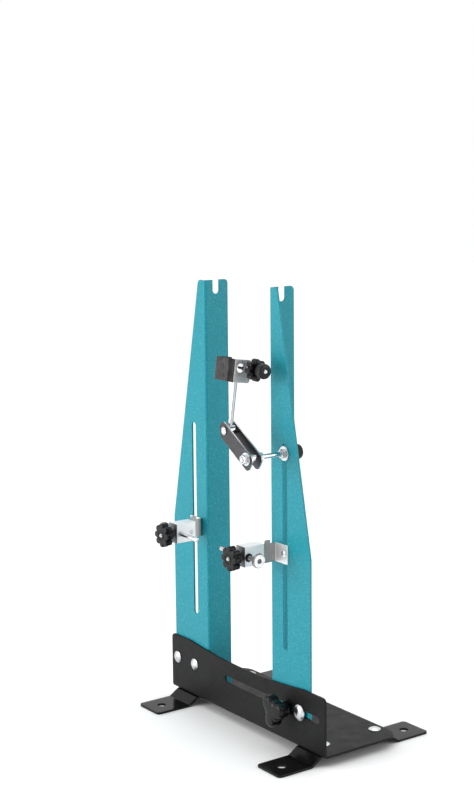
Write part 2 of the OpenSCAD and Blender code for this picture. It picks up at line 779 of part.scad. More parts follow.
// Screw along +X with a tapered tip at its start
module tipped_screw(d, l) rotate([0, 90, 0]) {
    cylinder(h = feeler_tip_l, d1 = feeler_tip_d, d2 = d);
    translate([0, 0, feeler_tip_l]) cylinder(h = l - feeler_tip_l, d = d);
}

module feeler_screw(side) color(bright_zinc) gauge_frame(side)
    translate([-feeler_reach, feeler_v, 0])
        tipped_screw(feeler_d, feeler_reach + feeler_out - disc_recess);

module thumb_disc(side) color(bright_zinc) gauge_frame(side)
    translate([feeler_out - thumb_t, feeler_v, 0]) rotate([0, 90, 0]) rotate_extrude() {
        bore_r = feeler_d / 2 + run_gap;
        rim_r = thumb_d / 2;
        polygon([
            [bore_r, 0], [rim_r - thumb_edge, 0], [rim_r, thumb_edge],
            [rim_r, thumb_t - thumb_edge], [rim_r - thumb_edge, thumb_t], [bore_r, thumb_t]
        ]);
    }

module lock_stud(side) color(bright_zinc) gauge_frame(side) {
    tip_v = feeler_v - feeler_d / 2 - stud_gap;
    end_v = lock_boss_v - lock_boss_l - lock_knob_t;
    translate([block_mid_u, tip_v, 0]) rotate([90, 0, 0]) {
        cylinder(h = tip_v - end_v, d = lock_stud_d);
        translate([0, 0, tip_v - end_v])
            cylinder(h = lock_stud_proud, d1 = lock_stud_d, d2 = lock_stud_tip_d);
    }
}

module lock_knob(side) color(black_plastic) gauge_frame(side)
    translate([block_mid_u, lock_boss_v, 0]) rotate([90, 0, 0]) difference() {
        union() {
            cylinder(h = lock_boss_l + eps, d = lock_boss_d);
            translate([0, 0, lock_boss_l]) linear_extrude(lock_knob_t)
                lobed_shape(lock_knob_d, lock_lobes, lock_lobe_d, lock_core_d);
        }
        translate([0, 0, -eps]) cylinder(h = lock_boss_l + lock_knob_t + past, d = lock_stud_d);
    }

// ---- Rotor gauge ----

module arm_rod() color(bright_zinc) arm_frame()
    translate([0, rod_end_v, 0])
        y_rod(rod_d, round_knob_v + face_gap + round_grip_l - rod_end_v);

module arm_nuts() color(bright_zinc) arm_frame() {
    translate([0, -face_gap - washer_t, 0]) rotate([90, 0, 0]) hex_nut(rod_nut_af, rod_nut_h, rod_d);
    translate([0, link_front_v - face_gap - link_washer_t, 0]) rotate([90, 0, 0])
        hex_nut(rod_nut_af, rod_nut_h, rod_d);
    translate([0, link_rear_v + face_gap + link_washer_t, 0]) rotate([-90, 0, 0])
        hex_nut(rod_nut_af, rod_nut_h, rod_d);
}

module arm_washers() color(bright_zinc) arm_frame() {
    translate([0, -face_gap, 0]) rotate([90, 0, 0]) washer(big_washer_d, washer_t, rod_d);
    translate([0, post_t + face_gap, 0]) rotate([-90, 0, 0]) washer(washer_d, washer_t, rod_d);
    translate([0, link_front_v - face_gap, 0]) rotate([90, 0, 0])
        washer(link_washer_d, link_washer_t, rod_d);
    translate([0, link_rear_v + face_gap, 0]) rotate([-90, 0, 0])
        washer(link_washer_d, link_washer_t, rod_d);
}

module arm_knob() color(black_plastic) arm_frame() rear_knob(rod_d);

// Outline of a link plate: the arm's rod at the origin, the pivot bolt along the link
module link_outline(chamfer) rotate(180 - link_angle) difference() {
    round_rect(-link_end, link_l + link_end, -link_above, link_below, link_corner_r);
    translate([link_l + link_end, link_below])
        polygon([[past, past], [-chamfer - past, past], [-chamfer, 0], [0, -chamfer],
                 [past, -chamfer - past]]);
    circle(d = rod_d + 2 * run_gap);
    translate([link_l, 0]) circle(d = pivot_d + 2 * bolt_gap);
}

module link_front_plate() color(dark_steel) arm_frame()
    xz_plate(link_front_v, link_t) link_outline(link_chamfer);

module link_rear_plate() color(dark_steel) arm_frame()
    xz_plate(link_rear_v - link_t, link_t) link_outline(0);

module link_spacer() color(bright_zinc) arm_frame() difference() {
    translate([0, link_front_v + link_t, 0]) y_rod(spacer_d, link_space);
    translate([0, link_front_v, 0]) y_rod(rod_d + 2 * run_gap, link_space + 2 * link_t);
}

module pivot_bolt() color(bright_zinc) pivot_frame()
    translate([0, link_front_v + link_out, 0]) rotate([90, 0, 0])
        dome_bolt(pivot_head_d, pivot_head_h, pivot_d,
                  2 * link_t + link_space + pivot_nut_h + bolt_proud);

module pivot_nut() color(bright_zinc) pivot_frame()
    translate([0, link_rear_v + link_out, 0]) rotate([-90, 0, 0])
        hex_nut(pivot_nut_af, pivot_nut_h, pivot_d);

module swivel_barrel() color(bright_zinc) difference() {
    barrel_l = link_space - 2 * face_gap;
    pivot_frame() translate([0, -barrel_l / 2, 0]) y_rod(barrel_d, barrel_l);
    pivot_frame() translate([0, -barrel_l, 0]) y_rod(pivot_d + 2 * run_gap, 2 * barrel_l);
    rotor_frame() translate([0, 0, barrel_seat_r]) cylinder(h = barrel_d, d = rod_d);
}

module upright_rod() color(bright_zinc) rotor_frame()
    translate([0, 0, barrel_seat_r]) cylinder(h = upright_l - barrel_seat_r, d = rod_d);

module rod_socket() color(dark_steel) rotor_frame() difference() {
    x1 = fork_side - fork_t;
    y0 = fork_t - fork_front;
    corner = fork_fold_r + face_gap;
    translate([0, 0, fork_z]) linear_extrude(socket_h)
        polygon([[-socket_side, y0], [x1 - corner, y0], [x1, y0 + corner], [x1, socket_back],
                 [-socket_side, socket_back]]);
    translate([0, 0, fork_z - past]) cylinder(h = upright_l - fork_z + past, d = rod_d);
}

module rotor_fork() color(satin_alloy) rotor_frame() difference() {
    translate([fork_side - fork_w / 2, -fork_front, fork_z]) linear_extrude(fork_h)
        both_sides() translate([-fork_w / 2, 0])
            angle_profile(fork_w / 2 + eps, fork_d, fork_t, fork_fold_r);
    yz_plate(fork_side - fork_t - past, fork_t + 2 * past) {
        translate([sight_y, fork_z + fork_hole_z]) circle(d = sight_d);
        translate([rotor_screw_y, fork_z + fork_hole_z]) circle(d = rotor_screw_d + 2 * run_gap);
    }
    yz_plate(fork_side - fork_w - past, fork_w + 2 * past) {
        translate([fork_d - fork_front, fork_z + fork_h]) corner_waste(fork_corner_r);
        translate([fork_d - fork_front, fork_z]) mirror([0, 1]) corner_waste(fork_corner_r);
    }
}

module rotor_nut() color(bright_zinc) rotor_screw_frame()
    translate([fork_side - fork_t - rotor_nut_h, 0, 0]) rotate([0, 90, 0])
        hex_nut(rotor_nut_af, rotor_nut_h, rotor_screw_d);

module rotor_feeler_screw() color(bright_zinc) rotor_screw_frame()
    translate([-rotor_reach, 0, 0]) tipped_screw(rotor_screw_d, rotor_reach + rotor_end_x);

module rotor_feeler_knob() color(black_plastic) rotor_screw_frame()
    translate([rotor_neck_x, 0, 0]) rotate([0, 90, 0])
        round_knob(round_knob_d, rotor_knob_t, round_neck_d, rotor_neck_l, rotor_screw_d,
                   rotor_neck_l + rotor_knob_t + past);

module rotor_lock_knob() color(black_plastic) rotor_screw_frame()
    translate([rotor_lock_x, 0, 0]) rotate([0, 90, 0]) difference() {
        union() {
            cylinder(h = rotor_hub_l + eps, d = rotor_hub_d);
            translate([0, 0, rotor_hub_l]) linear_extrude(rotor_lock_t)
                lobed_shape(rotor_lock_d, lock_lobes, rotor_lobe_d, rotor_core_d);
        }
        translate([0, 0, -eps])
            cylinder(h = rotor_hub_l + rotor_lock_t + past, d = rotor_screw_d + 2 * bolt_gap);
    }

// ---- Pieces ----

base_tray();
left_foot();
right_foot();
foot_bolts();
foot_nuts();
fixed_post();
fixed_post_bolts();
fixed_post_nuts();
sliding_post();
guide_bolt();
guide_nut();
clamp_bolt();
clamp_washer();
clamp_knob();
gauge_bracket(LEFT);  // left_gauge_bracket
gauge_block(LEFT);  // left_gauge_block
block_screw(LEFT);  // left_block_screw
gauge_bolt(LEFT);  // left_gauge_bolt
gauge_washer(LEFT);  // left_gauge_washer
gauge_knob(LEFT);  // left_gauge_knob
feeler_bush(LEFT);  // left_feeler_bush
feeler_screw(LEFT);  // left_feeler_screw
thumb_disc(LEFT);  // left_thumb_disc
lock_stud(LEFT);  // left_lock_stud
lock_knob(LEFT);  // left_lock_knob
gauge_bracket(RIGHT);  // right_gauge_bracket
gauge_block(RIGHT);  // right_gauge_block
block_screw(RIGHT);  // right_block_screw
gauge_bolt(RIGHT);  // right_gauge_bolt
gauge_washer(RIGHT);  // right_gauge_washer
gauge_knob(RIGHT);  // right_gauge_knob
feeler_bush(RIGHT);  // right_feeler_bush
feeler_screw(RIGHT);  // right_feeler_screw
thumb_disc(RIGHT);  // right_thumb_disc
lock_stud(RIGHT);  // right_lock_stud
lock_knob(RIGHT);  // right_lock_knob
arm_rod();
arm_nuts();
arm_washers();
arm_knob();
link_front_plate();
link_rear_plate();
link_spacer();
pivot_bolt();
pivot_nut();
swivel_barrel();
upright_rod();
rod_socket();
rotor_fork();
rotor_nut();
rotor_feeler_screw();
rotor_feeler_knob();
rotor_lock_knob();
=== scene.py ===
"""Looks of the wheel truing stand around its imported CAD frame.

Sizes and places are in millimetres in the row frame and repeat the part's own values.
"""
import json
import math

import bmesh
import bpy
from mathutils import Matrix, Vector


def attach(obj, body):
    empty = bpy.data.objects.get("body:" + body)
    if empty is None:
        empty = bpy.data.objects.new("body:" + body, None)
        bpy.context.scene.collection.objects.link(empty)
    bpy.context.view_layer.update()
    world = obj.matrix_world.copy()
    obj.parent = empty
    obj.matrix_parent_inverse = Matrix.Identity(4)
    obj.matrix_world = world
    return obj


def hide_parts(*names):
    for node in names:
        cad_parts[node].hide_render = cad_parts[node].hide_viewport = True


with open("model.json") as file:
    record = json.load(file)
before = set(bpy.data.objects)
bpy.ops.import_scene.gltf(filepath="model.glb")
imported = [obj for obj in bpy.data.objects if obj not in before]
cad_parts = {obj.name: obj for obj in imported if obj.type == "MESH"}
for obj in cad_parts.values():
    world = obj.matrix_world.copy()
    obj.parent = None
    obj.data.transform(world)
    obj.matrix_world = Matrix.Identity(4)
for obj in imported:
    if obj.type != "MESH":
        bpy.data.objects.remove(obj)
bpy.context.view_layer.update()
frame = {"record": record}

MM = 0.001
TAU = 2 * math.pi
QUARTER = math.pi / 2
RECORD = frame["record"]
BODY_OF = {n: b for b, nodes in RECORD["behaviour"]["bodies"].items() for n in nodes}

FRONT, BACK, UP, RIGHT = (0, -1, 0), (0, 1, 0), (0, 0, 1), (1, 0, 0)

# Places that several pieces share
POST = {"left": (-1, -80.35, -55.0), "right": (1, 54.65, -54.8)}   # side, web face X, flange Y
GAUGE_Z = 247.5
POST_BOLT_Z = 56.5
POST_SLOT_U = 29.0
ARM = Vector((83.65, -54.8, 372.0))
PIVOT = Vector((39.794, -103.55, 399.94))
ROTOR_SCREW = Vector((39.794, -81.64, 473.203))
LEAN = math.radians(8)
UPRIGHT = Vector((0, math.sin(LEAN), math.cos(LEAN)))

# Standard fasteners: bores, nuts as (flats, height, bore), washers as (width, height, bore)
M5_BORE, M6_BORE, M8_BORE = 5.2, 6.2, 8.2
M5_NUT, M6_NUT, M8_NUT = (8, 4, M5_BORE), (10, 5, M6_BORE), (13, 6.5, M8_BORE)
SMALL_WASHER, LINK_WASHER, BIG_WASHER = (14, 1.5, M6_BORE), (16, 1.2, M6_BORE), (18, 1.5, M6_BORE)
FACE_GAP = 0.1    # between faces that bear on each other
SLIDE_GAP = 0.2   # between the sliding post and the front plate
SLOT_R = 4.25     # half the width of every slot


# ---------------------------------------------------------------- mesh helpers

def show(name, data):
    """A new object of the scene, with a mesh, lamp or camera as its data."""
    obj = bpy.data.objects.new(name, data)
    bpy.context.scene.collection.objects.link(obj)
    return obj


def place(origin, axis):
    """Matrix with its origin at a point and +Z along an axis; +Y stays up where it can."""
    z = Vector(axis).normalized()
    helper = Vector((0, 0, 1)) if abs(z.z) < 0.9 else Vector((1, 0, 0))
    x = helper.cross(z).normalized()
    y = z.cross(x)
    m = Matrix((x, y, z)).transposed().to_4x4()
    m.translation = Vector(origin)
    return m


def soft(points, size, steps=3):
    """Rounds each inner corner of a profile of (radius, height) points."""
    longest = 0.45   # share of a straight stretch that one corner may take
    out = [points[0]]
    for before, corner, after in zip(points, points[1:], points[2:]):
        c = Vector(corner)
        a, b = Vector(before) - c, Vector(after) - c
        reach = min(size, a.length * longest, b.length * longest)
        p, q = c + a.normalized() * reach, c + b.normalized() * reach
        for i in range(steps + 1):
            t = i / steps
            out.append(tuple((1 - t) ** 2 * p + 2 * t * (1 - t) * c + t * t * q))
    out.append(points[-1])
    return out


def shaped(profile, outline, full_r):
    """Rows round near the axis that follow an outline further out, up to full_r."""
    round_to, blend = 0.45, 0.4   # shares of full_r

    def row(r, z):
        weight = min(1.0, max(0.0, (r / full_r - round_to) / blend))
        return lambda a: (r + weight * (outline(a) - full_r), z)
    return [(0, z) if r == 0 else row(r, z) for r, z in profile]


def turned(rows, matrix, steps=48, closed=False):
    """Surface of rows swept round +Z. A row is (r, z) or a function of the angle."""
    verts, faces, rings = [], [], []
    for row in rows:
        if not callable(row) and row[0] == 0:
            rings.append([len(verts)])
            verts.append(matrix @ Vector((0, 0, row[1])))
            continue
        ring = []
        for j in range(steps):
            a = TAU * j / steps
            r, z = row(a) if callable(row) else row
            ring.append(len(verts))
            verts.append(matrix @ Vector((r * math.cos(a), r * math.sin(a), z)))
        rings.append(ring)
    pairs = list(zip(rings, rings[1:])) + ([(rings[-1], rings[0])] if closed else [])
    for low, high in pairs:
        for j in range(steps):
            k = (j + 1) % steps
            if len(low) == 1:
                faces.append((low[0], high[k], high[j]))
            elif len(high) == 1:
                faces.append((low[j], low[k], high[0]))
            else:
                faces.append((low[j], low[k], high[k], high[j]))
    return verts, faces


def finish_mesh(mesh, sharp_angle=32):
    """Outward faces, smooth shading, and sharp edges past an angle in degrees."""
    work = bmesh.new()
    work.from_mesh(mesh)
    bmesh.ops.recalc_face_normals(work, faces=work.faces)
    work.to_mesh(mesh)
    work.free()
    for polygon in mesh.polygons:
        polygon.use_smooth = True
    mesh.set_sharp_from_angle(angle=math.radians(sharp_angle))


def dress(obj, node):
    """Puts a new piece in a CAD node's stead, on its body."""
    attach(obj, BODY_OF[node])
    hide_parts(node)
    return obj


def piece(node, solids, material, second=None):
    """One object out of several turned solids; solids listed as (solid, 1) use second."""
    verts, faces, kinds = [], [], []
    for solid in solids:
        (v, f), kind = solid if isinstance(solid[1], int) else (solid, 0)
        faces += [tuple(i + len(verts) for i in face) for face in f]
        kinds += [kind] * len(f)
        verts += [p * MM for p in v]
    mesh = bpy.data.meshes.new(node + "_look")
    mesh.from_pydata(verts, [], faces)
    mesh.materials.append(material)
    if second:
        mesh.materials.append(second)
        mesh.polygons.foreach_set("material_index", kinds)
    finish_mesh(mesh)
    return dress(show(node + "_look", mesh), node)


def arc(cx, cy, r, a0, a1, steps=8):
    """Points along an arc, from angle a0 to a1 in degrees."""
    angles = (math.radians(a0 + (a1 - a0) * i / steps) for i in range(steps + 1))
    return [(cx + r * math.cos(a), cy + r * math.sin(a)) for a in angles]


def circle(cx, cy, d, steps=32):
    return arc(cx, cy, d / 2, 0, 360, steps)[:-1]


def slot_hole(along, low, high):
    """A slot across a sheet, with round ends."""
    return (arc(along, high - SLOT_R, SLOT_R, 0, 180)
            + arc(along, low + SLOT_R, SLOT_R, 180, 360))


def box_outline(x0, x1, y0, y1, r=0.0):
    """Rectangle with round corners, counterclockwise."""
    if r == 0:
        return [(x0, y0), (x1, y0), (x1, y1), (x0, y1)]
    return (arc(x1 - r, y0 + r, r, -90, 0) + arc(x1 - r, y1 - r, r, 0, 90)
            + arc(x0 + r, y1 - r, r, 90, 180) + arc(x0 + r, y0 + r, r, 180, 270))


def inset(loop, distance):
    """A closed loop moved towards its left side."""
    moved = []
    count = len(loop)
    for i in range(count):
        before, here, after = (Vector(loop[(i + k) % count]) for k in (-1, 0, 1))
        a, b = (here - before).normalized(), (after - here).normalized()
        left = Vector((-a.y - b.y, a.x + b.x))
        left.normalize()
        stretch = 1 / max(0.5, left.dot(Vector((-a.y, a.x))))
        moved.append(tuple(here + left * distance * stretch))
    return moved


def folder(bends, start, heading, t):
    """Maps (distance along a sheet, height in it) to its folded cross-section.

    A bend is (where it starts, its inner radius, its angle), and a positive angle folds
    towards the sheet's upper side.
    """
    parts_of_bend = 8
    pieces, base, d, at_s = [], complex(*start), complex(*heading), 0.0
    for s0, r, angle in bends:
        base += d * (s0 - at_s)
        turn_by = math.radians(angle)
        length = abs(turn_by) * (r + t / 2)
        up = d * 1j
        centre = base + up * (t + r) if angle > 0 else base - up * r
        pieces.append((s0, length, turn_by, centre, up, r, base, d))
        reach = t + r if angle > 0 else r
        sign = -1 if angle > 0 else 1
        spin = complex(math.cos(turn_by), math.sin(turn_by))
        base = centre + sign * up * spin * reach
        d *= spin
        at_s = s0 + length

    def fold(s, n):
        last = (base, d, at_s)
        for s0, length, turn_by, centre, up, r, before, direction in pieces:
            if s < s0:
                p = before + direction * (s - s0) + direction * 1j * n
                return p.real, p.imag
            if s <= s0 + length:
                a = turn_by * (s - s0) / length
                spin = complex(math.cos(a), math.sin(a))
                p = (centre - up * spin * (t + r - n)) if turn_by > 0 else (
                    centre + up * spin * (r + n))
                return p.real, p.imag
        p = last[0] + last[1] * (s - last[2]) + last[1] * 1j * n
        return p.real, p.imag
    cuts = [s0 + length * i / parts_of_bend for s0, length, *_ in pieces
            for i in range(parts_of_bend + 1)]
    return fold, cuts


def sheet(node, outline, holes, t, to_world, materials, bends=(), start=(0, 0),
          heading=(1, 0), edge=0.4, zone=None, zone_cuts=()):
    """A sheet with holes and soft edges, drawn flat and then folded.

    outline and holes run counterclockwise, both as (along, across). zone gives the number
    of a face's material from its place along the sheet and whether it is on an edge.
    """
    fold, cuts = folder(bends, start, heading, t)
    corner = 0.293 * edge   # the middle point of a quarter round
    levels = [(edge, 0), (corner, corner), (0, edge), (0, t - edge), (corner, t - corner),
              (edge, t)]
    work = bmesh.new()
    rims = {0: [], t: []}
    for loop in [outline] + [list(reversed(h)) for h in holes]:
        rings = [[work.verts.new((x, y, n)) for x, y in inset(loop, off)] for off, n in levels]
        for low, high in zip(rings, rings[1:]):
            for i in range(len(loop)):
                j = (i + 1) % len(loop)
                work.faces.new((low[i], low[j], high[j], high[i]))
        rims[0].append(rings[0])
        rims[t].append(rings[-1])
    for height, loops in rims.items():
        edges = [work.edges.get((ring[i - 1], ring[i])) for ring in loops
                 for i in range(len(ring))]
        bmesh.ops.triangle_fill(work, use_beauty=True, use_dissolve=False, edges=edges,
                                normal=(0, 0, 1 if height else -1))
    for cut in cuts + list(zone_cuts):   # cuts across the sheet, so that it can fold there
        everything = list(work.verts) + list(work.edges) + list(work.faces)
        bmesh.ops.bisect_plane(work, geom=everything, dist=1e-5, plane_co=(cut, 0, 0),
                               plane_no=(1, 0, 0))
    if zone:
        for face in work.faces:
            middle_point = face.calc_center_median()
            on_edge = edge < middle_point.z < t - edge
            face.material_index = zone(middle_point.x, on_edge)
    for vert in work.verts:
        u, v = fold(vert.co.x, vert.co.z)
        vert.co = Vector(to_world(u, v, vert.co.y)) * MM
    mesh = bpy.data.meshes.new(node + "_look")
    work.to_mesh(mesh)
    work.free()
    for material in materials:
        mesh.materials.append(material)
    finish_mesh(mesh, 50)
    obj = show(node + "_look", mesh)
    weighted = obj.modifiers.new("flat_faces", "WEIGHTED_NORMAL")
    weighted.keep_sharp = True
    return dress(obj, node)


# ---------------------------------------------------------------- shared shapes

def dome_bolt(origin, axis, head_d, head_h, shank_d, shank_l, rim=0.7):
    """Low domed head that points along axis, with a short straight rim and a shank."""
    rows = 10
    r, cap = head_d / 2, head_h - rim
    ball = (r * r + cap * cap) / (2 * cap)
    half = math.asin(min(1.0, r / ball))
    dome = [(ball * math.sin(half * i / rows), head_h - ball + ball * math.cos(half * i / rows))
            for i in range(rows, 0, -1)]
    profile = [(0, -shank_l), (shank_d / 2 - 0.5, -shank_l), (shank_d / 2, -shank_l + 0.5),
               (shank_d / 2, 0), (r - 0.25, 0), (r, 0.2)] + dome + [(0, head_h)]
    return turned(profile, place(origin, axis), 56)


def nut(origin, axis, flats, height, hole_d):
    """Hexagon nut with round chamfers; flats is its width over them."""
    slope = math.tan(math.radians(28))
    face_r, cut_r = flats / 2 * 0.95, flats / 2 * 0.97   # flat face, and where the chamfer starts

    def hexagon(a):
        return flats / 2 / math.cos((a + TAU / 12) % (TAU / 6) - TAU / 12)

    def cut(a):
        return slope * (hexagon(a) - cut_r)

    hole, mouth = hole_d / 2, 0.5
    rows = [(hole, mouth), (hole + mouth, 0), (face_r, 0),
            lambda a: (hexagon(a), cut(a)), lambda a: (hexagon(a), height - cut(a)),
            (face_r, height), (hole + mouth, height), (hole, height - mouth)]
    return turned(rows, place(origin, axis), 72, closed=True)


def washer(origin, axis, d, t, hole_d):
    edge = min(0.25, t / 4)
    hole, r = hole_d / 2, d / 2
    rows = [(hole, edge), (hole + edge, 0), (r - edge, 0), (r, edge), (r, t - edge),
            (r - edge, t), (hole + edge, t), (hole, t - edge)]
    return turned(rows, place(origin, axis), 56, closed=True)


def rod_rows(r, z0, z1, chamfer=0.5):
    return [(0, z0), (r - chamfer, z0), (r, z0 + chamfer), (r, z1 - chamfer),
            (r - chamfer, z1), (0, z1)]


def thread_rows(r, z0, z1, pitch, depth):
    """Rows of a helical thread between two heights."""
    per_turn = 6
    count = int((z1 - z0) / pitch * per_turn)

    def row(z):
        fade = min(1.0, (z - z0) / pitch, (z1 - z) / pitch)
        return lambda a: (r - depth * fade * (1 - abs(2 * ((z / pitch - a / TAU) % 1) - 1)), z)
    return [row(z0 + (z1 - z0) * i / count) for i in range(count + 1)]


def lobes(d, count, lobe_d, core_d, first=90):
    """Polar outline of round lobes round a core, with soft valleys; first is in degrees."""
    reach = (d - lobe_d) / 2
    core = core_d / 2 - 0.24   # the soft valleys add about as much
    power = 9.0                # the higher, the tighter the valleys
    start_a = math.radians(first)

    def outline(a):
        b = (a - start_a + TAU / count / 2) % (TAU / count) - TAU / count / 2
        side = reach * math.sin(b)
        inside = (lobe_d / 2) ** 2 - side ** 2
        lobe = reach * math.cos(b) + math.sqrt(inside) if inside > 0 else 0.0
        return (max(lobe, 0.01) ** power + core ** power) ** (1 / power)
    top = outline(start_a)
    return lambda a: outline(a) * (d / 2) / top


def lobed_knob(origin, axis, hub_d, hub_l, d, t, outline, bore_d, edge=2.0, closed_face=False):
    """Moulded knob: a hub, a lobed grip with round edges, and a raised ring round its bore.

    With closed_face, the face is whole and slightly crowned, and no bore is drawn.
    """
    r = d / 2
    z0, z1 = hub_l, hub_l + t
    bore = bore_d / 2
    if closed_face:
        crown = soft([(hub_d / 2, z0), (r, z0), (r, z1 - 0.9), (r * 0.4, z1 - 0.1)], edge, 6)
        profile = [(0, 0.3), (hub_d / 2 - 0.6, 0), (hub_d / 2, 0.6), (hub_d / 2, z0 - 0.6),
                   (hub_d / 2 + 0.6, z0)] + crown[1:] + [(r * 0.15, z1), (0, z1)]
        return turned(shaped(profile, outline, r), place(origin, axis), 144)
    boss = min(bore + 2.6, r * 0.5)
    grip = soft([(hub_d / 2, z0), (r, z0), (r, z1), (boss + 1.2, z1)], edge, 5)[1:-1]
    profile = [(bore, 0.3), (bore + 0.3, 0), (hub_d / 2 - 0.6, 0), (hub_d / 2, 0.6),
               (hub_d / 2, z0 - 0.6), (hub_d / 2 + 0.6, z0)] + grip
    profile += [(boss + 1.8, z1), (boss + 1.0, z1 - 0.7), (boss + 0.3, z1 - 0.7),
                (boss, z1 - 0.2), (boss - 0.3, z1), (bore + 0.3, z1), (bore, z1 - 0.3)]
    rows = shaped(profile, outline, r)
    return turned(rows, place(origin, axis), 144, closed=True)


def round_knob(origin, axis, d, t, neck_d, neck_l, bore_d, through):
    """Round knob with a neck and a ribbed grip; through says if its bore goes through."""
    ribs, rib_depth = 28, 0.35
    r, bore = d / 2, bore_d / 2
    z1 = neck_l + t

    def ribbed(radius, z, weight):
        return lambda a: (radius - weight * rib_depth * (0.5 + 0.5 * math.cos(ribs * a)), z)

    side = [(r - 1.6, neck_l, 0), (r - 0.5, neck_l + 0.5, 0.2), (r, neck_l + 1.6, 1),
            (r, z1 - 1.6, 1), (r - 0.5, z1 - 0.5, 0.2), (r - 1.6, z1, 0)]
    rows = [(bore, 0.3), (bore + 0.3, 0), (neck_d / 2 - 0.5, 0), (neck_d / 2, 0.5),
            (neck_d / 2, neck_l)]
    rows += [ribbed(*s) for s in side]
    if through:
        rows += [(bore + 2.2, z1), (bore + 1.9, z1 - 0.4), (bore + 0.3, z1 - 0.4),
                 (bore, z1 - 0.7)]
        return turned(rows, place(origin, axis), 168, closed=True)
    rows += [(r - 3.2, z1), (r - 3.6, z1 - 0.5), (r - 4.4, z1 - 0.5), (0, z1 - 0.4)]
    return turned([(0, 0.3)] + rows, place(origin, axis), 168)


# ---------------------------------------------------------------- materials

class Shader:
    """A Principled material and short calls for its procedural nodes."""

    def __init__(self, name, color, roughness, metallic=0.0, **sockets):
        self.material = bpy.data.materials.new(name)
        self.material.use_nodes = True
        self.tree = self.material.node_tree
        self.bsdf = self.tree.nodes["Principled BSDF"]
        self.bsdf.inputs["Base Color"].default_value = (*color, 1)
        self.bsdf.inputs["Roughness"].default_value = roughness
        self.bsdf.inputs["Metallic"].default_value = metallic
        for key, value in sockets.items():
            self.bsdf.inputs[key.replace("_", " ")].default_value = value
        self.coords = self.tree.nodes.new("ShaderNodeTexCoord").outputs["Object"]

    def link(self, output, socket):
        self.tree.links.new(output, socket)

    def stretched(self, x, y, z):
        """Coordinates scaled per axis, in features per metre."""
        node = self.tree.nodes.new("ShaderNodeMapping")
        node.inputs["Scale"].default_value = (x, y, z)
        self.link(self.coords, node.inputs["Vector"])
        return node.outputs["Vector"]

    def noise(self, scale, detail=3.0, vector=None):
        node = self.tree.nodes.new("ShaderNodeTexNoise")
        node.inputs["Scale"].default_value = scale
        node.inputs["Detail"].default_value = detail
        self.link(vector or self.coords, node.inputs["Vector"])
        return node.outputs["Fac"]

    def cells(self, scale):
        """A random value per small cell."""
        node = self.tree.nodes.new("ShaderNodeTexVoronoi")
        node.inputs["Scale"].default_value = scale
        self.link(self.coords, node.inputs["Vector"])
        grey = self.tree.nodes.new("ShaderNodeSeparateColor")
        self.link(node.outputs["Color"], grey.inputs["Color"])
        return grey.outputs["Red"]

    def ramp(self, value, *stops):
        """Colour ramp; each stop is (position, colour or grey level)."""
        node = self.tree.nodes.new("ShaderNodeValToRGB")
        self.link(value, node.inputs["Fac"])
        elements = node.color_ramp.elements
        while len(elements) < len(stops):
            elements.new(0.5)
        for element, (position, level) in zip(elements, stops):
            element.position = position
            rgb = level if isinstance(level, tuple) else (level,) * 3
            element.color = (*rgb, 1)
        return node.outputs["Color"]

    def mix(self, factor, a, b):
        node = self.tree.nodes.new("ShaderNodeMix")
        node.data_type = "RGBA"
        self.link(factor, node.inputs["Factor"])
        for value, socket in ((a, node.inputs[6]), (b, node.inputs[7])):   # its colour sockets
            if isinstance(value, tuple):
                socket.default_value = (*value, 1)
            else:
                self.link(value, socket)
        return node.outputs[2]

    def bump(self, height, strength, distance):
        """Adds relief; distance is in metres."""
        node = self.tree.nodes.new("ShaderNodeBump")
        node.inputs["Strength"].default_value = strength
        node.inputs["Distance"].default_value = distance
        self.link(height, node.inputs["Height"])
        last = self.bsdf.inputs["Normal"]
        if last.is_linked:
            self.link(last.links[0].from_socket, node.inputs["Normal"])
        self.link(node.outputs["Normal"], last)

    def color(self, output):
        self.link(output, self.bsdf.inputs["Base Color"])

    def roughness(self, output):
        self.link(output, self.bsdf.inputs["Roughness"])


def powder_coat(name, dark, light, spark, roughness, gloss, sparkle, peel):
    """Textured powder coat: fine grain, small bright flakes and orange peel."""
    s = Shader(name, light, roughness, 0.0, Specular_IOR_Level=gloss)
    grain = s.ramp(s.noise(1700, 3), (0.36, dark), (0.64, light))
    drift = s.mix(s.ramp(s.noise(9, 3), (0.3, 0.0), (0.7, 0.25)), grain, light)
    flakes = s.ramp(s.cells(2300), (sparkle, 0.0), (min(1.0, sparkle + 0.04), 1.0))
    s.color(s.mix(flakes, drift, spark))
    s.roughness(s.ramp(s.noise(60, 4), (0.3, roughness - 0.05), (0.7, roughness + 0.07)))
    s.bump(s.noise(700, 2), peel, 0.0003)
    s.bump(s.noise(2400, 2), peel * 0.7, 0.0001)
    return s.material


def metal(name, dark, light, roughness, spread, grain_axis=None, grain=0.12, tone_scale=90,
          across=3000, along=40, metallic=1.0):
    """Bare or plated metal, with brushed grain along an axis when one is given."""
    s = Shader(name, light, roughness, metallic)
    tone = s.noise(tone_scale, 4)
    if grain_axis is None:
        s.color(s.ramp(tone, (0.3, dark), (0.7, light)))
        s.roughness(s.ramp(s.noise(400, 4), (0.3, roughness - spread), (0.7, roughness + spread)))
        s.bump(s.noise(1800, 3), grain, 0.00004)
        return s.material
    stretch = [along if axis == grain_axis else across for axis in "xyz"]
    lines = s.noise(1.0, 3, s.stretched(*stretch))
    worn = s.ramp(tone, (0.35, 0.0), (0.75, 0.35))
    s.roughness(s.ramp(lines, (0.3, roughness - spread), (0.7, roughness + spread)))
    s.color(s.mix(worn, s.ramp(lines, (0.25, dark), (0.75, light)), light))
    s.bump(lines, grain, 0.00005)
    return s.material


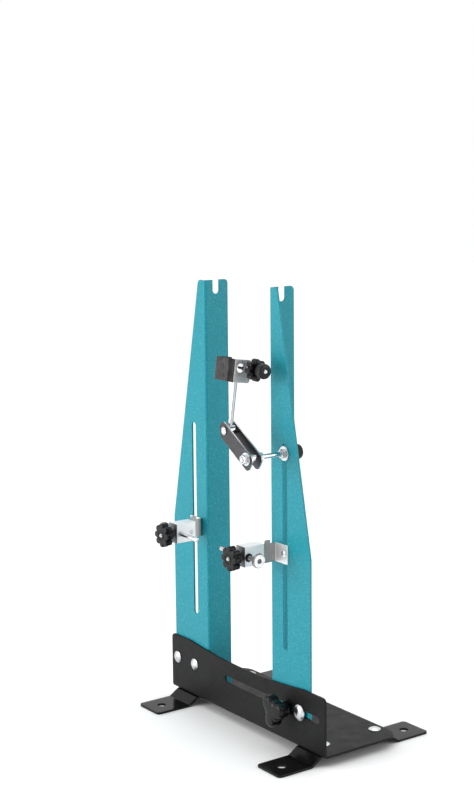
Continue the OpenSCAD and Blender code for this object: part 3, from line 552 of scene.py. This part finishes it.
def moulded(name, color, roughness):
    """Black moulded plastic with a faint uneven gloss."""
    s = Shader(name, color, roughness, 0.0, Specular_IOR_Level=0.22)
    worn = tuple(c * 2.2 for c in color)
    s.color(s.ramp(s.noise(300, 5), (0.4, color), (0.8, worn)))
    s.roughness(s.ramp(s.noise(180, 4), (0.3, roughness - 0.06), (0.7, roughness + 0.1)))
    s.bump(s.noise(900, 3), 0.12, 0.0001)
    return s.material


TEAL = powder_coat("teal_powder", (0.004, 0.180, 0.230), (0.010, 0.270, 0.335),
                   (0.09, 0.52, 0.58), roughness=0.34, gloss=0.22, sparkle=0.93, peel=0.6)
BASE_BLACK = powder_coat("base_powder", (0.005, 0.005, 0.0053), (0.011, 0.011, 0.0113),
                         (0.040, 0.040, 0.041), roughness=0.42, gloss=0.12, sparkle=0.94,
                         peel=0.35)
FOOT_BLACK = powder_coat("foot_paint", (0.003, 0.003, 0.003), (0.005, 0.005, 0.0053),
                         (0.02, 0.02, 0.02), roughness=0.17, gloss=0.20, sparkle=0.97,
                         peel=0.10)
ZINC = metal("bright_zinc", (0.50, 0.51, 0.53), (0.74, 0.75, 0.76), 0.30, 0.07)
CHROME = metal("polished_rod", (0.50, 0.51, 0.53), (0.68, 0.69, 0.71), 0.16, 0.04)
THREAD = metal("thread_steel", (0.10, 0.10, 0.105), (0.26, 0.26, 0.27), 0.32, 0.06)
PLATE_ALLOY = metal("plate_alloy", (0.62, 0.63, 0.64), (0.86, 0.87, 0.88), 0.40, 0.10, "x", 0.30,
                    metallic=0.7)
# Painted shade: the bracket's arm is the same sheet as its plate, drawn in a darker alloy for the
# shade on its side.
SHADED_ARM_ALLOY = metal("arm_alloy_painted_shade", (0.20, 0.195, 0.19), (0.50, 0.49, 0.48), 0.42, 0.10, "z", 0.55,
                  tone_scale=40, across=1600, along=60)
ALLOY = metal("satin_alloy", (0.76, 0.77, 0.78), (0.92, 0.93, 0.94), 0.48, 0.06, "y", 0.20,
              metallic=0.45)
# Painted shade: a dark copy of the block's alloy for its front end, which sits in shade.
SHADED_BLOCK_END = metal("block_end_painted_shade", (0.10, 0.10, 0.10), (0.26, 0.26, 0.26), 0.45, 0.08, "z", 0.5)
TURNED = metal("turned_alloy", (0.70, 0.70, 0.71), (0.86, 0.86, 0.87), 0.26, 0.05)
KNURL = metal("knurled_rim", (0.10, 0.10, 0.105), (0.30, 0.30, 0.31), 0.36, 0.06)
BUSH = metal("blackened_steel", (0.012, 0.012, 0.013), (0.028, 0.028, 0.029), 0.36, 0.06)
LINK = metal("dark_brushed", (0.035, 0.035, 0.037), (0.10, 0.10, 0.105), 0.36, 0.08, "x", 0.4)
# Painted highlight: a light metal on the link plates' edge faces stands in for their bright edge
# lines.
EDGE_HIGHLIGHT = metal("link_edge_painted_highlight", (0.45, 0.45, 0.46), (0.70, 0.70, 0.71), 0.28, 0.06)
# Painted reflection and light: the fork is one sheet of one metal; its web is drawn dark for the
# dark surroundings it reflects, and its outer side lighter as the lit face.
FORK_WEB_PAINTED_REFLECTION = metal("fork_web_painted_reflection", (0.012, 0.012, 0.014), (0.105, 0.10, 0.10), 0.34, 0.08, "z", 0.5,
                 tone_scale=60, across=1000, along=20)
LIT_FORK_SIDE = metal("fork_side", (0.30, 0.30, 0.305), (0.55, 0.55, 0.555), 0.48, 0.08, None, 0.6,
                  tone_scale=700, metallic=0.4)
PLASTIC = moulded("black_plastic", (0.004, 0.004, 0.0045), 0.22)

# ---------------------------------------------------------------- base and feet

# Base: drawn from the front plate's top edge down and then back along the tray
HALF_L, BASE_D, BASE_T, BASE_FOLD = 164, 121, 3, 1.5
FRONT_Y, FRONT_H, FRONT_R, REAR_R = -58, 87, 6, 22
FOOT_T, FOOT_RISE = 3, 8.9
DIP, DIP_HALF, DIP_PARTS = 7.5, 120, 48
GUIDE_SLOT = (-41, 153)
POST_BOLT_XS = (-110.35, -150.35)
FOOT_X, FOOT_BOLT_YS = 131, (-33, 49)
FOOT_BOLTS = [(x, y) for x in (-FOOT_X, FOOT_X) for y in FOOT_BOLT_YS]

tray_z = FOOT_RISE + FOOT_T
plate_l = FRONT_H - tray_z - BASE_T - BASE_FOLD
tray_s = plate_l + QUARTER * (BASE_FOLD + BASE_T / 2) - (FRONT_Y + BASE_T + BASE_FOLD)
rear_s = tray_s + (FRONT_Y + BASE_D)
bolt_s = FRONT_H - POST_BOLT_Z
dip_r = (DIP_HALF ** 2 + DIP ** 2) / (2 * DIP)
dip_points = []
for i in range(DIP_PARTS + 1):
    x = DIP_HALF - 2 * DIP_HALF * i / DIP_PARTS
    dip_points.append((DIP - (dip_r - math.sqrt(dip_r ** 2 - x ** 2)), x))
base_outline = (
    arc(FRONT_R, -HALF_L + FRONT_R, FRONT_R, 180, 270)
    + arc(rear_s - REAR_R, -HALF_L + REAR_R, REAR_R, 270, 360, 12)
    + arc(rear_s - REAR_R, HALF_L - REAR_R, REAR_R, 0, 90, 12)
    + arc(FRONT_R, HALF_L - FRONT_R, FRONT_R, 90, 180) + dip_points)
base_holes = ([slot_hole(bolt_s, *GUIDE_SLOT)]
              + [circle(bolt_s, x, M6_BORE) for x in POST_BOLT_XS]
              + [circle(tray_s + y, x, M6_BORE) for x, y in FOOT_BOLTS])
sheet("base_tray", base_outline, base_holes, BASE_T, lambda y, z, x: (x, y, z), [BASE_BLACK],
      bends=[(plate_l, BASE_FOLD, 90)], start=(FRONT_Y, FRONT_H), heading=(0, -1), edge=0.5)

# Feet: drawn from the front end to the rear end
FOOT_FOLD, FOOT_HALF, FOOT_W, FOOT_R, RAISED_HALF = 3, 119, 46, 5, 54.5
BENCH_HOLE_D, BENCH_HOLE_IN = 11, 21
RAMP_DEGREES = 33
ramp = math.radians(RAMP_DEGREES)
fold_gap = 2 * FOOT_FOLD + FOOT_T
ramp_l = (FOOT_RISE - fold_gap * (1 - math.cos(ramp))) / math.sin(ramp)
flat_y = RAISED_HALF + ramp_l * math.cos(ramp) + fold_gap * math.sin(ramp)
fold_l = ramp * (FOOT_FOLD + FOOT_T / 2)
bend_starts = [FOOT_HALF - flat_y]
for straight in (ramp_l, 2 * RAISED_HALF, ramp_l):
    bend_starts.append(bend_starts[-1] + fold_l + straight)
foot_bends = [(s0, FOOT_FOLD, RAMP_DEGREES * sign)
              for s0, sign in zip(bend_starts, (1, -1, -1, 1))]
foot_end = bend_starts[-1] + fold_l + FOOT_HALF - flat_y
raised_middle = bend_starts[1] + fold_l + RAISED_HALF
foot_holes = [circle(s, 0, BENCH_HOLE_D) for s in (BENCH_HOLE_IN, foot_end - BENCH_HOLE_IN)]
foot_holes += [circle(raised_middle + y, 0, M6_BORE) for y in FOOT_BOLT_YS]


def foot(node, x0):
    """A foot strip across the base, bent down to the bench at both ends."""
    sheet(node, box_outline(0, foot_end, -FOOT_W / 2, FOOT_W / 2, FOOT_R), foot_holes, FOOT_T,
          lambda y, z, x: (x0 - x, y, z), [FOOT_BLACK], bends=foot_bends,
          start=(-FOOT_HALF, 0), edge=0.5)


foot("left_foot", -FOOT_X)
foot("right_foot", FOOT_X)

# ---------------------------------------------------------------- posts and their bolts

# Posts: drawn from the web's rear edge to the flange's outer edge
POST_T, POST_FOLD, WEB_D, FOOT_EDGE, TOP_EDGE = 2.5, 1, 36, 78, 15
POST_Z0, TAPER_Z, TOP_Z, CORNER = 16.9, 250, 570, 5
POST_SLOT = (126, 384)
AXLE_Z, AXLE_R = 557, 5
web_l = WEB_D - POST_T - POST_FOLD
flange_s = web_l + QUARTER * (POST_FOLD + POST_T / 2) - (POST_T + POST_FOLD)
taper = math.degrees(math.atan((FOOT_EDGE - TOP_EDGE) / (TOP_Z - TAPER_Z)))
corner_u = TOP_EDGE - CORNER / math.tan(math.radians((90 + taper) / 2))


def post(node, side, bolt_us, bolt_bore, axle_v):
    """A post with its slot, bolt holes and dropout; the left and right ones mirror."""
    sx, web_x, flange_y = POST[side]
    notch_s = WEB_D - axle_v
    outline = (
        [(0, POST_Z0), (flange_s + FOOT_EDGE, POST_Z0), (flange_s + FOOT_EDGE, TAPER_Z)]
        + arc(flange_s + corner_u, TOP_Z - CORNER, CORNER, taper, 90, 10)
        + [(notch_s + AXLE_R, TOP_Z)]
        + arc(notch_s, AXLE_Z, AXLE_R, 0, -180, 16)
        + [(notch_s - AXLE_R, TOP_Z)] + arc(CORNER, TOP_Z - CORNER, CORNER, 90, 180, 10))
    holes = [slot_hole(flange_s + POST_SLOT_U, *POST_SLOT)]
    holes += [circle(flange_s + u, POST_BOLT_Z, bolt_bore) for u in bolt_us]
    sheet(node, outline, holes, POST_T,
          lambda u, v, z: (web_x + sx * u, flange_y + v, z), [TEAL],
          bends=[(web_l, POST_FOLD, 90)], start=(0, WEB_D), heading=(0, -1), edge=0.45)


post("fixed_post", "left", bolt_us=(30, 70), bolt_bore=M6_BORE, axle_v=17.7)
post("sliding_post", "right", bolt_us=(61, 37.5), bolt_bore=M8_BORE, axle_v=17.5)

TRAY_TOP, FOOT_NUT_Z = 14.9, 3.9
FIXED_INNER_Y, SLIDING_INNER_Y = -52.5, -52.3
SLIDE_FRONT_Y = FRONT_Y - SLIDE_GAP
piece("foot_bolts", [dome_bolt((x, y, TRAY_TOP), UP, head_d=15.5, head_h=3.2, shank_d=6,
                               shank_l=12.5) for x, y in FOOT_BOLTS], ZINC)
piece("foot_nuts", [nut((x, y, FOOT_NUT_Z), UP, *M6_NUT) for x, y in FOOT_BOLTS], ZINC)
piece("fixed_post_bolts", [dome_bolt((x, FRONT_Y, POST_BOLT_Z), FRONT, head_d=15.5,
                                     head_h=3.4, shank_d=6, shank_l=12)
                           for x in POST_BOLT_XS], ZINC)
piece("fixed_post_nuts", [nut((x, FIXED_INNER_Y, POST_BOLT_Z), BACK, *M6_NUT)
                          for x in POST_BOLT_XS], ZINC)

GUIDE_X, CLAMP_X = 115.65, 92.15
CLAMP_WASHER = (20, 1.6, M8_BORE)
CLAMP_KNOB_D = 43
clamp_knob_y = SLIDE_FRONT_Y - CLAMP_WASHER[1] - FACE_GAP
piece("guide_bolt", [dome_bolt((GUIDE_X, SLIDE_FRONT_Y, POST_BOLT_Z), FRONT, head_d=20,
                               head_h=5, shank_d=8, shank_l=13.9, rim=1.2)], ZINC)
piece("guide_nut", [nut((GUIDE_X, SLIDING_INNER_Y, POST_BOLT_Z), BACK, *M8_NUT)], ZINC)
piece("clamp_bolt", [   # its shank, the hexagon round its head, and the head's flat middle
    turned(rod_rows(r=4, z0=0, z1=30), place((CLAMP_X, -50, POST_BOLT_Z), FRONT)),
    nut((CLAMP_X, SLIDING_INNER_Y, POST_BOLT_Z), BACK, flats=13, height=5.3, hole_d=7.6),
    turned([(0, 0), (3.85, 0), (3.85, 4.9), (0, 4.9)],
           place((CLAMP_X, SLIDING_INNER_Y, POST_BOLT_Z), BACK)),
], ZINC)
piece("clamp_washer", [washer((CLAMP_X, SLIDE_FRONT_Y, POST_BOLT_Z), FRONT, *CLAMP_WASHER)], BUSH)   # black, as the photo shows no bright ring there
clamp_lobes = lobes(CLAMP_KNOB_D, count=3, lobe_d=17, core_d=27, first=135)
piece("clamp_knob", [lobed_knob((CLAMP_X, clamp_knob_y, POST_BOLT_Z), FRONT, hub_d=16,
                                hub_l=10.1, d=CLAMP_KNOB_D, t=16, outline=clamp_lobes,
                                bore_d=M8_BORE, edge=4.5, closed_face=True)], PLASTIC)

# ---------------------------------------------------------------- rim gauges

# In a post's own directions: u outwards from its web, v back from its flange
BRACKET_U, BRACKET_END_U, BRACKET_T, BRACKET_FOLD, BRACKET_HALF_H = 10.9, 36.4, 2, 1, 11.8
BRACKET_ARM_L, TAB, TAB_H, TAB_R = 34, (10, 18), 4.5, 1.5
BLOCK_U, BLOCK_W, BLOCK_MIDDLE_U, BLOCK_V, BLOCK_Z = -3.1, 18, 5.9, (-50, -21), (-11.7, 13.3)
BLOCK_SCREW_V, BLOCK_SCREW_BORE = -27.5, 5.7
SHADED_END_V = -49.7   # where the block's front end, painted darker as shade, starts
FEELER_U, FEELER_V, FEELER_R, FEELER_PITCH = -44.6, -44.6, 3, 1.0
FEELER_SMOOTH_L, FEELER_L = 61.6, 81.6
THUMB_U, THUMB_T, TEETH, TOOTH_DEPTH = 32.4, 5, 56, 0.32
LOCK_STUD_V, LOCK_KNOB_V, LOCK_KNOB_D = -47.9, -52, 31
LOCK_LOBES = lobes(LOCK_KNOB_D, count=8, lobe_d=7.5, core_d=24)
WASHER_V = POST_T + FACE_GAP
KNOB_V = WASHER_V + SMALL_WASHER[1] + FACE_GAP


def rear_knob(node, origin):
    """The round knob behind a post that clamps a gauge or the arm."""
    piece(node, [round_knob(origin, BACK, d=18.5, t=13, neck_d=12, neck_l=5, bore_d=M6_BORE,
                            through=False)], PLASTIC)


def knurled(r, z):
    """A row of the thumb disc's rim."""
    return lambda a: (r - TOOTH_DEPTH * (0.5 - 0.5 * math.cos(TEETH * a)), z)


def rim_gauge(side, sx, web_x, flange_y):
    """Bracket, block, feeler and both knobs of one rim gauge."""
    out = (sx, 0, 0)

    def at(u, v, z=0):
        """From the post's directions, with z over the gauge's axis, to the row frame."""
        return web_x + sx * u, flange_y + v, GAUGE_Z + z

    plate_s = BRACKET_END_U - BRACKET_U - BRACKET_T - BRACKET_FOLD
    fold_end = plate_s + QUARTER
    arm_s = (plate_s + QUARTER * (BRACKET_FOLD + BRACKET_T / 2)
             - (BRACKET_T + BRACKET_FOLD + FACE_GAP))
    tab0, tab1 = arm_s + TAB[0], arm_s + TAB[1]
    arm_end, half_h, tab_y = arm_s + BRACKET_ARM_L, BRACKET_HALF_H, BRACKET_HALF_H + TAB_H - TAB_R
    outline = ([(0, -half_h), (arm_end, -half_h), (arm_end, half_h), (tab1, half_h)]
               + arc(tab1 - TAB_R, tab_y, TAB_R, 0, 90)
               + arc(tab0 + TAB_R, tab_y, TAB_R, 90, 180)
               + [(tab0, half_h), (0, half_h)])
    # Painted shade: past the fold the arm takes the darker alloy, and the plate keeps the lighter
    # one.
    sheet(side + "_gauge_bracket", outline, [circle(BRACKET_END_U - POST_SLOT_U, 0, M6_BORE)],
          BRACKET_T, at, [PLATE_ALLOY, SHADED_ARM_ALLOY], bends=[(plate_s, BRACKET_FOLD, 90)],
          start=(BRACKET_END_U, -FACE_GAP), heading=(-1, 0), edge=0.3,
          zone=lambda s, on_edge: int(s > fold_end), zone_cuts=[fold_end])
    # The block's front end takes the dark alloy as painted shade.
    sheet(side + "_gauge_block", box_outline(*BLOCK_V, *BLOCK_Z),
          [circle(FEELER_V, 0, 6.1), circle(BLOCK_SCREW_V, 0, BLOCK_SCREW_BORE)], BLOCK_W,
          lambda v, n, z: at(BLOCK_U + n, v, z), [ALLOY, SHADED_BLOCK_END], edge=0.6,
          zone=lambda v, on_edge: int(v < SHADED_END_V + 0.1), zone_cuts=[SHADED_END_V])
    piece(side + "_block_screw", [turned(
        [(0, 0.9), (1.3, 0.9), (1.3, 0), (2.45, 0), (2.75, 0.3), (2.75, 1.8), (1.5, 1.8),
         (1.5, 15.9), (0, 15.9)], place(at(BLOCK_U, BLOCK_SCREW_V), out))], ZINC)
    piece(side + "_gauge_bolt",
          [dome_bolt(at(POST_SLOT_U, -BRACKET_T - FACE_GAP), FRONT, head_d=9, head_h=1.8,
                     shank_d=6, shank_l=14.3, rim=0.4)], ZINC)
    piece(side + "_gauge_washer", [washer(at(POST_SLOT_U, WASHER_V), BACK, *SMALL_WASHER)], ZINC)
    rear_knob(side + "_gauge_knob", at(POST_SLOT_U, KNOB_V))
    piece(side + "_feeler_bush", [turned(
        [(3.05, 0), (4.3, 0), (4.3, 4), (4.9, 4), (5.2, 4.3), (5.2, 5.1), (4.9, 5.4), (3.4, 5.4),
         (3.05, 5.1)], place(at(BRACKET_U, FEELER_V), out), closed=True)], BUSH)

    # The feeler: a smooth pointed rod whose outer end is threaded
    feeler = place(at(FEELER_U, FEELER_V), out)
    point = [(0, 0), (0.9, 0), (1.25, 0.3), (2.85, 2.85), (FEELER_R, 3.3)]
    piece(side + "_feeler_screw", [
        turned(point + [(FEELER_R, FEELER_SMOOTH_L), (0, FEELER_SMOOTH_L)], feeler),
        (turned([(0, FEELER_SMOOTH_L)]
                + thread_rows(FEELER_R, FEELER_SMOOTH_L, FEELER_L - 0.3, FEELER_PITCH,
                              depth=0.45)
                + [(2.4, FEELER_L), (0, FEELER_L)], feeler, 32), 1),
    ], CHROME, THREAD)

    # The thumb disc: two turned faces and a knurled rim between them
    face = [(3.05, 0.4), (3.4, 0), (5.9, 0), (6.1, 0.35), (6.6, 0.35), (6.8, 0), (7.9, 0)]
    far_face = [(r, THUMB_T - z) for r, z in reversed(face)]
    disc = place(at(THUMB_U, FEELER_V), out)
    rim = [knurled(r, z) for r, z in ((8.35, 0.35), (8.75, 0.8), (8.75, 4.2), (8.35, 4.65))]
    piece(side + "_thumb_disc", [
        turned(far_face + face, disc, 56),
        (turned([face[-1]] + rim + [far_face[0]], disc, TEETH * 6), 1),
    ], TURNED, KNURL)
    piece(side + "_lock_stud", [turned(
        [(0, 0), (2, 0), (2.5, 0.5), (2.5, 20.6), (1.5, 22.1), (0, 22.1)],
        place(at(BLOCK_MIDDLE_U, LOCK_STUD_V), FRONT))], ZINC)
    piece(side + "_lock_knob",
          [lobed_knob(at(BLOCK_MIDDLE_U, LOCK_KNOB_V), FRONT, hub_d=12, hub_l=6.5,
                      d=LOCK_KNOB_D, t=10, outline=LOCK_LOBES, bore_d=5.0, edge=1.8)], PLASTIC)


for side, placed in POST.items():
    rim_gauge(side, *placed)

# ---------------------------------------------------------------- arm and link

# Distances back from the sliding post's front face
ROD_V, LINK_FRONT_V, LINK_REAR_V, LINK_T = -64.1, -57, -43, 2.5
LINK_PITCH, LINK_BORE, LINK_CHAMFER = 52, 6.1, 9
LINK_ANGLE = math.radians(180 - 32.5)
BIG_WASHER_V = -FACE_GAP
ROD_NUT_V = BIG_WASHER_V - BIG_WASHER[1]
FRONT_WASHER_V = LINK_FRONT_V - FACE_GAP
REAR_WASHER_V = LINK_REAR_V + LINK_T + FACE_GAP


def on_arm(v):
    """A point on the arm rod's axis."""
    return ARM + Vector((0, v, 0))


piece("arm_rod", [
    turned([(0, 0), (2.5, 0)] + thread_rows(r=3, z0=0.5, z1=9.5, pitch=1.0, depth=0.35)
           + [(3, 9.8), (3, 75.8), (2.5, 76.3), (0, 76.3)], place(on_arm(ROD_V), BACK), 32)],
      CHROME)
piece("arm_nuts", [nut(on_arm(ROD_NUT_V), FRONT, *M6_NUT),
                   nut(on_arm(FRONT_WASHER_V - LINK_WASHER[1]), FRONT, *M6_NUT),
                   nut(on_arm(REAR_WASHER_V + LINK_WASHER[1]), BACK, *M6_NUT)], ZINC)
piece("arm_washers", [washer(on_arm(BIG_WASHER_V), FRONT, *BIG_WASHER),
                      washer(on_arm(WASHER_V), BACK, *SMALL_WASHER),
                      washer(on_arm(FRONT_WASHER_V), FRONT, *LINK_WASHER),
                      washer(on_arm(REAR_WASHER_V), BACK, *LINK_WASHER)], ZINC)
rear_knob("arm_knob", on_arm(KNOB_V))


def link_plate(node, y0, chamfer):
    """A link plate, drawn along the line of its two pivots, with one corner cut off or round."""
    low, high, end, r = -8, 12, 10.5, 5
    far = LINK_PITCH + end
    if chamfer:
        corner = [(far, high - chamfer), (far - chamfer, high)]
    else:
        corner = arc(far - r, high - r, r, 0, 90)
    outline = (arc(-end + r, low + r, r, 180, 270) + arc(far - r, low + r, r, 270, 360)
               + corner + arc(-end + r, high - r, r, 90, 180))

    def to_world(along, n, across):
        x = along * math.cos(LINK_ANGLE) - across * math.sin(LINK_ANGLE)
        z = along * math.sin(LINK_ANGLE) + across * math.cos(LINK_ANGLE)
        return ARM.x + x, y0 + n, ARM.z + z
    # Edge faces take the light metal as a painted highlight.
    sheet(node, outline, [circle(0, 0, LINK_BORE), circle(LINK_PITCH, 0, M5_BORE)], LINK_T,
          to_world, [LINK, EDGE_HIGHLIGHT], edge=0.35, zone=lambda s, on_edge: int(on_edge))


link_plate("link_front_plate", ARM.y + LINK_FRONT_V, LINK_CHAMFER)
link_plate("link_rear_plate", ARM.y + LINK_REAR_V, 0)
piece("link_spacer", [washer(on_arm(LINK_REAR_V), FRONT, d=10, t=11.5, hole_d=LINK_BORE)], CHROME)
piece("pivot_bolt", [dome_bolt((PIVOT.x, ARM.y + LINK_FRONT_V, PIVOT.z), FRONT, head_d=10,
                               head_h=3.2, shank_d=5, shank_l=22, rim=1.4)], ZINC)
piece("pivot_nut", [nut((PIVOT.x, ARM.y + LINK_REAR_V + LINK_T, PIVOT.z), BACK, *M5_NUT)], ZINC)

# ---------------------------------------------------------------- rotor gauge

BARREL_L = 11.3
piece("swivel_barrel", [washer(PIVOT + Vector((0, BARREL_L / 2, 0)), FRONT, d=13, t=BARREL_L,
                               hole_d=5.1)], CHROME)
piece("upright_rod", [turned(rod_rows(r=3, z0=3.8, z1=67), place(PIVOT, UPRIGHT))], CHROME)


def in_rotor(x, y, z):
    """From the leaning rod's frame to the row's."""
    return (PIVOT.x + x, PIVOT.y + y * math.cos(LEAN) + z * math.sin(LEAN),
            PIVOT.z - y * math.sin(LEAN) + z * math.cos(LEAN))


def on_rotor(x):
    """A point on the rotor feeler's axis."""
    return ROTOR_SCREW + Vector((x, 0, 0))


# Fork: drawn from its inner side's rear edge round to its outer side's
FORK_W, FORK_D, FORK_T, FORK_FOLD, FORK_Z = 40.5, 24.7, 2, 1.5, (58, 86)
FORK_FRONT, FORK_SIDE_X, FORK_REFLECTION_STRIP_W, SOCKET_H = 8.2, 6.5, 9, 10
FORK_HOLE_Z, SIGHT_Y, SIGHT_D, ROTOR_SCREW_Y, ROTOR_SCREW_BORE = 75.6, 1.4, 11, 11.5, 5.1
fork_corner = FORK_T + FORK_FOLD
leg = FORK_D - fork_corner
bend_l = QUARTER * (FORK_FOLD + FORK_T / 2)
web_w = FORK_W - 2 * fork_corner
bend_s = leg + bend_l + web_w                          # the outer bend's start
outer_s = bend_s + bend_l + FORK_FRONT - fork_corner   # the outer side's y 0
reflection_strip_s = bend_s - FORK_REFLECTION_STRIP_W                        # where the black strip of painted reflection starts on the web
side_s = bend_s + bend_l / 2                           # its end, half-way round the bend
socket = [(-6, -6.2), (2.9, -6.2), (4.5, -4.6), (4.5, 6), (-6, 6)]
sheet("rod_socket", socket, [circle(0, 0, 6)], SOCKET_H,
      lambda x, n, y: in_rotor(x, y, FORK_Z[0] + n), [LINK])
# Painted reflection: the web is dark, a strip near the outer bend is blackened steel for a dark
# reflection along the bend, and the outer side is a lit light grey.
sheet("rotor_fork", box_outline(0, 2 * leg + 2 * bend_l + web_w, *FORK_Z, 3),
      [circle(outer_s + SIGHT_Y, FORK_HOLE_Z, SIGHT_D),
       circle(outer_s + ROTOR_SCREW_Y, FORK_HOLE_Z, ROTOR_SCREW_BORE)], FORK_T, in_rotor,
      [FORK_WEB_PAINTED_REFLECTION, BUSH, LIT_FORK_SIDE], bends=[(leg, FORK_FOLD, 90), (bend_s, FORK_FOLD, 90)],
      start=(FORK_SIDE_X - FORK_W, FORK_D - FORK_FRONT), heading=(0, -1), edge=0.35,
      zone=lambda s, on_edge: int(s > reflection_strip_s) + int(s > side_s), zone_cuts=[reflection_strip_s, side_s])

ROTOR_NUT_X, ROTOR_LOCK_X, ROTOR_KNOB_X, ROTOR_LOCK_D = 0.5, 14.3, 28.8, 27.5
piece("rotor_nut", [nut(on_rotor(ROTOR_NUT_X), RIGHT, *M5_NUT)], ZINC)
piece("rotor_feeler_screw", [turned(
    [(0, -12.7), (0.9, -12.7), (1.25, -12.4), (2.4, -9.9), (2.5, -9.5)]
    + thread_rows(r=2.5, z0=-9.5, z1=42.5, pitch=0.8, depth=0.32)
    + [(2.5, 42.8), (1.9, 43.5), (0, 43.5)], place(on_rotor(0), RIGHT), 32)], CHROME)
rotor_lobes = lobes(ROTOR_LOCK_D, count=8, lobe_d=6.5, core_d=21)
piece("rotor_lock_knob", [lobed_knob(on_rotor(ROTOR_LOCK_X), RIGHT, hub_d=12, hub_l=4,
                                     d=ROTOR_LOCK_D, t=10, outline=rotor_lobes,
                                     bore_d=M5_BORE, edge=1.8)], PLASTIC)
piece("rotor_feeler_knob", [round_knob(on_rotor(ROTOR_KNOB_X), RIGHT, d=18.5, t=10, neck_d=12,
                                       neck_l=3.5, bore_d=M5_BORE, through=True)], PLASTIC)

# ---------------------------------------------------------------- stage, light, camera

floor_mesh = bpy.data.meshes.new("floor")
half = 6.0
floor_mesh.from_pydata([(-half, -half, 0), (half, -half, 0), (half, half, 0), (-half, half, 0)],
                       [], [(0, 1, 2, 3)])
floor = show("floor", floor_mesh)
paper = Shader("pale_floor", (0.93, 0.93, 0.93), 0.55)
paper.color(paper.ramp(paper.noise(3, 2), (0.3, 0.92), (0.7, 0.94)))
floor_mesh.materials.append(paper.material)

bpy.context.scene.view_settings.view_transform = "Standard"
world = bpy.data.worlds.new("studio")
bpy.context.scene.world = world
world.use_nodes = True
sky = world.node_tree.nodes["Background"]
sky.inputs["Color"].default_value = (1, 1, 1, 1)

# The sky is white, with a grey patch high in front that gives the metal some contrast
sky_nodes, sky_links = world.node_tree.nodes, world.node_tree.links
direction = sky_nodes.new("ShaderNodeTexCoord").outputs["Generated"]
facing = sky_nodes.new("ShaderNodeVectorMath")
facing.operation = "DOT_PRODUCT"
facing.inputs[1].default_value = Vector((0.62, -0.48, 0.62)).normalized()   # the patch
sky_links.new(direction, facing.inputs[0])
fade = sky_nodes.new("ShaderNodeMapRange")
fade.interpolation_type = "SMOOTHSTEP"
for socket, value in (("From Min", 0.79), ("From Max", 0.92), ("To Min", 1.0), ("To Max", 0.2)):
    fade.inputs[socket].default_value = value
sky_links.new(facing.outputs["Value"], fade.inputs["Value"])
sky_links.new(fade.outputs["Result"], sky.inputs["Strength"])


def soft_light(name, position, target, size, power):
    """A rectangular area light that faces a target."""
    data = bpy.data.lights.new(name, "AREA")
    data.shape = "RECTANGLE"
    data.size, data.size_y = size
    data.energy = power
    lamp = show(name, data)
    lamp.location = position
    aim = Vector(target) - Vector(position)
    lamp.rotation_euler = aim.to_track_quat("-Z", "Y").to_euler()


middle = (0, 0, 0.28)
soft_light("key", (-0.9, -2.4, 0.8), middle, (1.6, 1.4), 38)
soft_light("side", (2.5, 1.7, 0.9), middle, (1.2, 1.4), 14)
overhead = bpy.data.lights.new("overhead", "SUN")
overhead.energy, overhead.angle = 0.9, math.radians(80)
show("overhead", overhead)

# The camera that was fitted to the photograph
CAMERA = Vector((1521.79, -1163.95, 727.69)) * MM
YAW, PITCH, ROLL = (math.radians(a) for a in (-54.142, -9.082, -0.538))
FOCAL_PX, PHOTO_H, SENSOR = 1539.41, 800, 36.0
ahead = Vector((math.sin(YAW) * math.cos(PITCH), math.cos(YAW) * math.cos(PITCH),
                math.sin(PITCH)))
level = Vector((math.cos(YAW), -math.sin(YAW), 0))
above = level.cross(ahead)
side_axis = math.cos(ROLL) * level + math.sin(ROLL) * above
up_axis = math.cos(ROLL) * above - math.sin(ROLL) * level
lens = bpy.data.cameras.new("camera")
lens.sensor_fit = "VERTICAL"
lens.sensor_height = SENSOR
lens.lens = FOCAL_PX * SENSOR / PHOTO_H
lens.clip_start, lens.clip_end = 0.05, 50
camera = show("camera", lens)
turn = Matrix((side_axis, up_axis, -ahead)).transposed().to_4x4()
turn.translation = CAMERA
camera.matrix_world = turn
bpy.context.scene.camera = camera
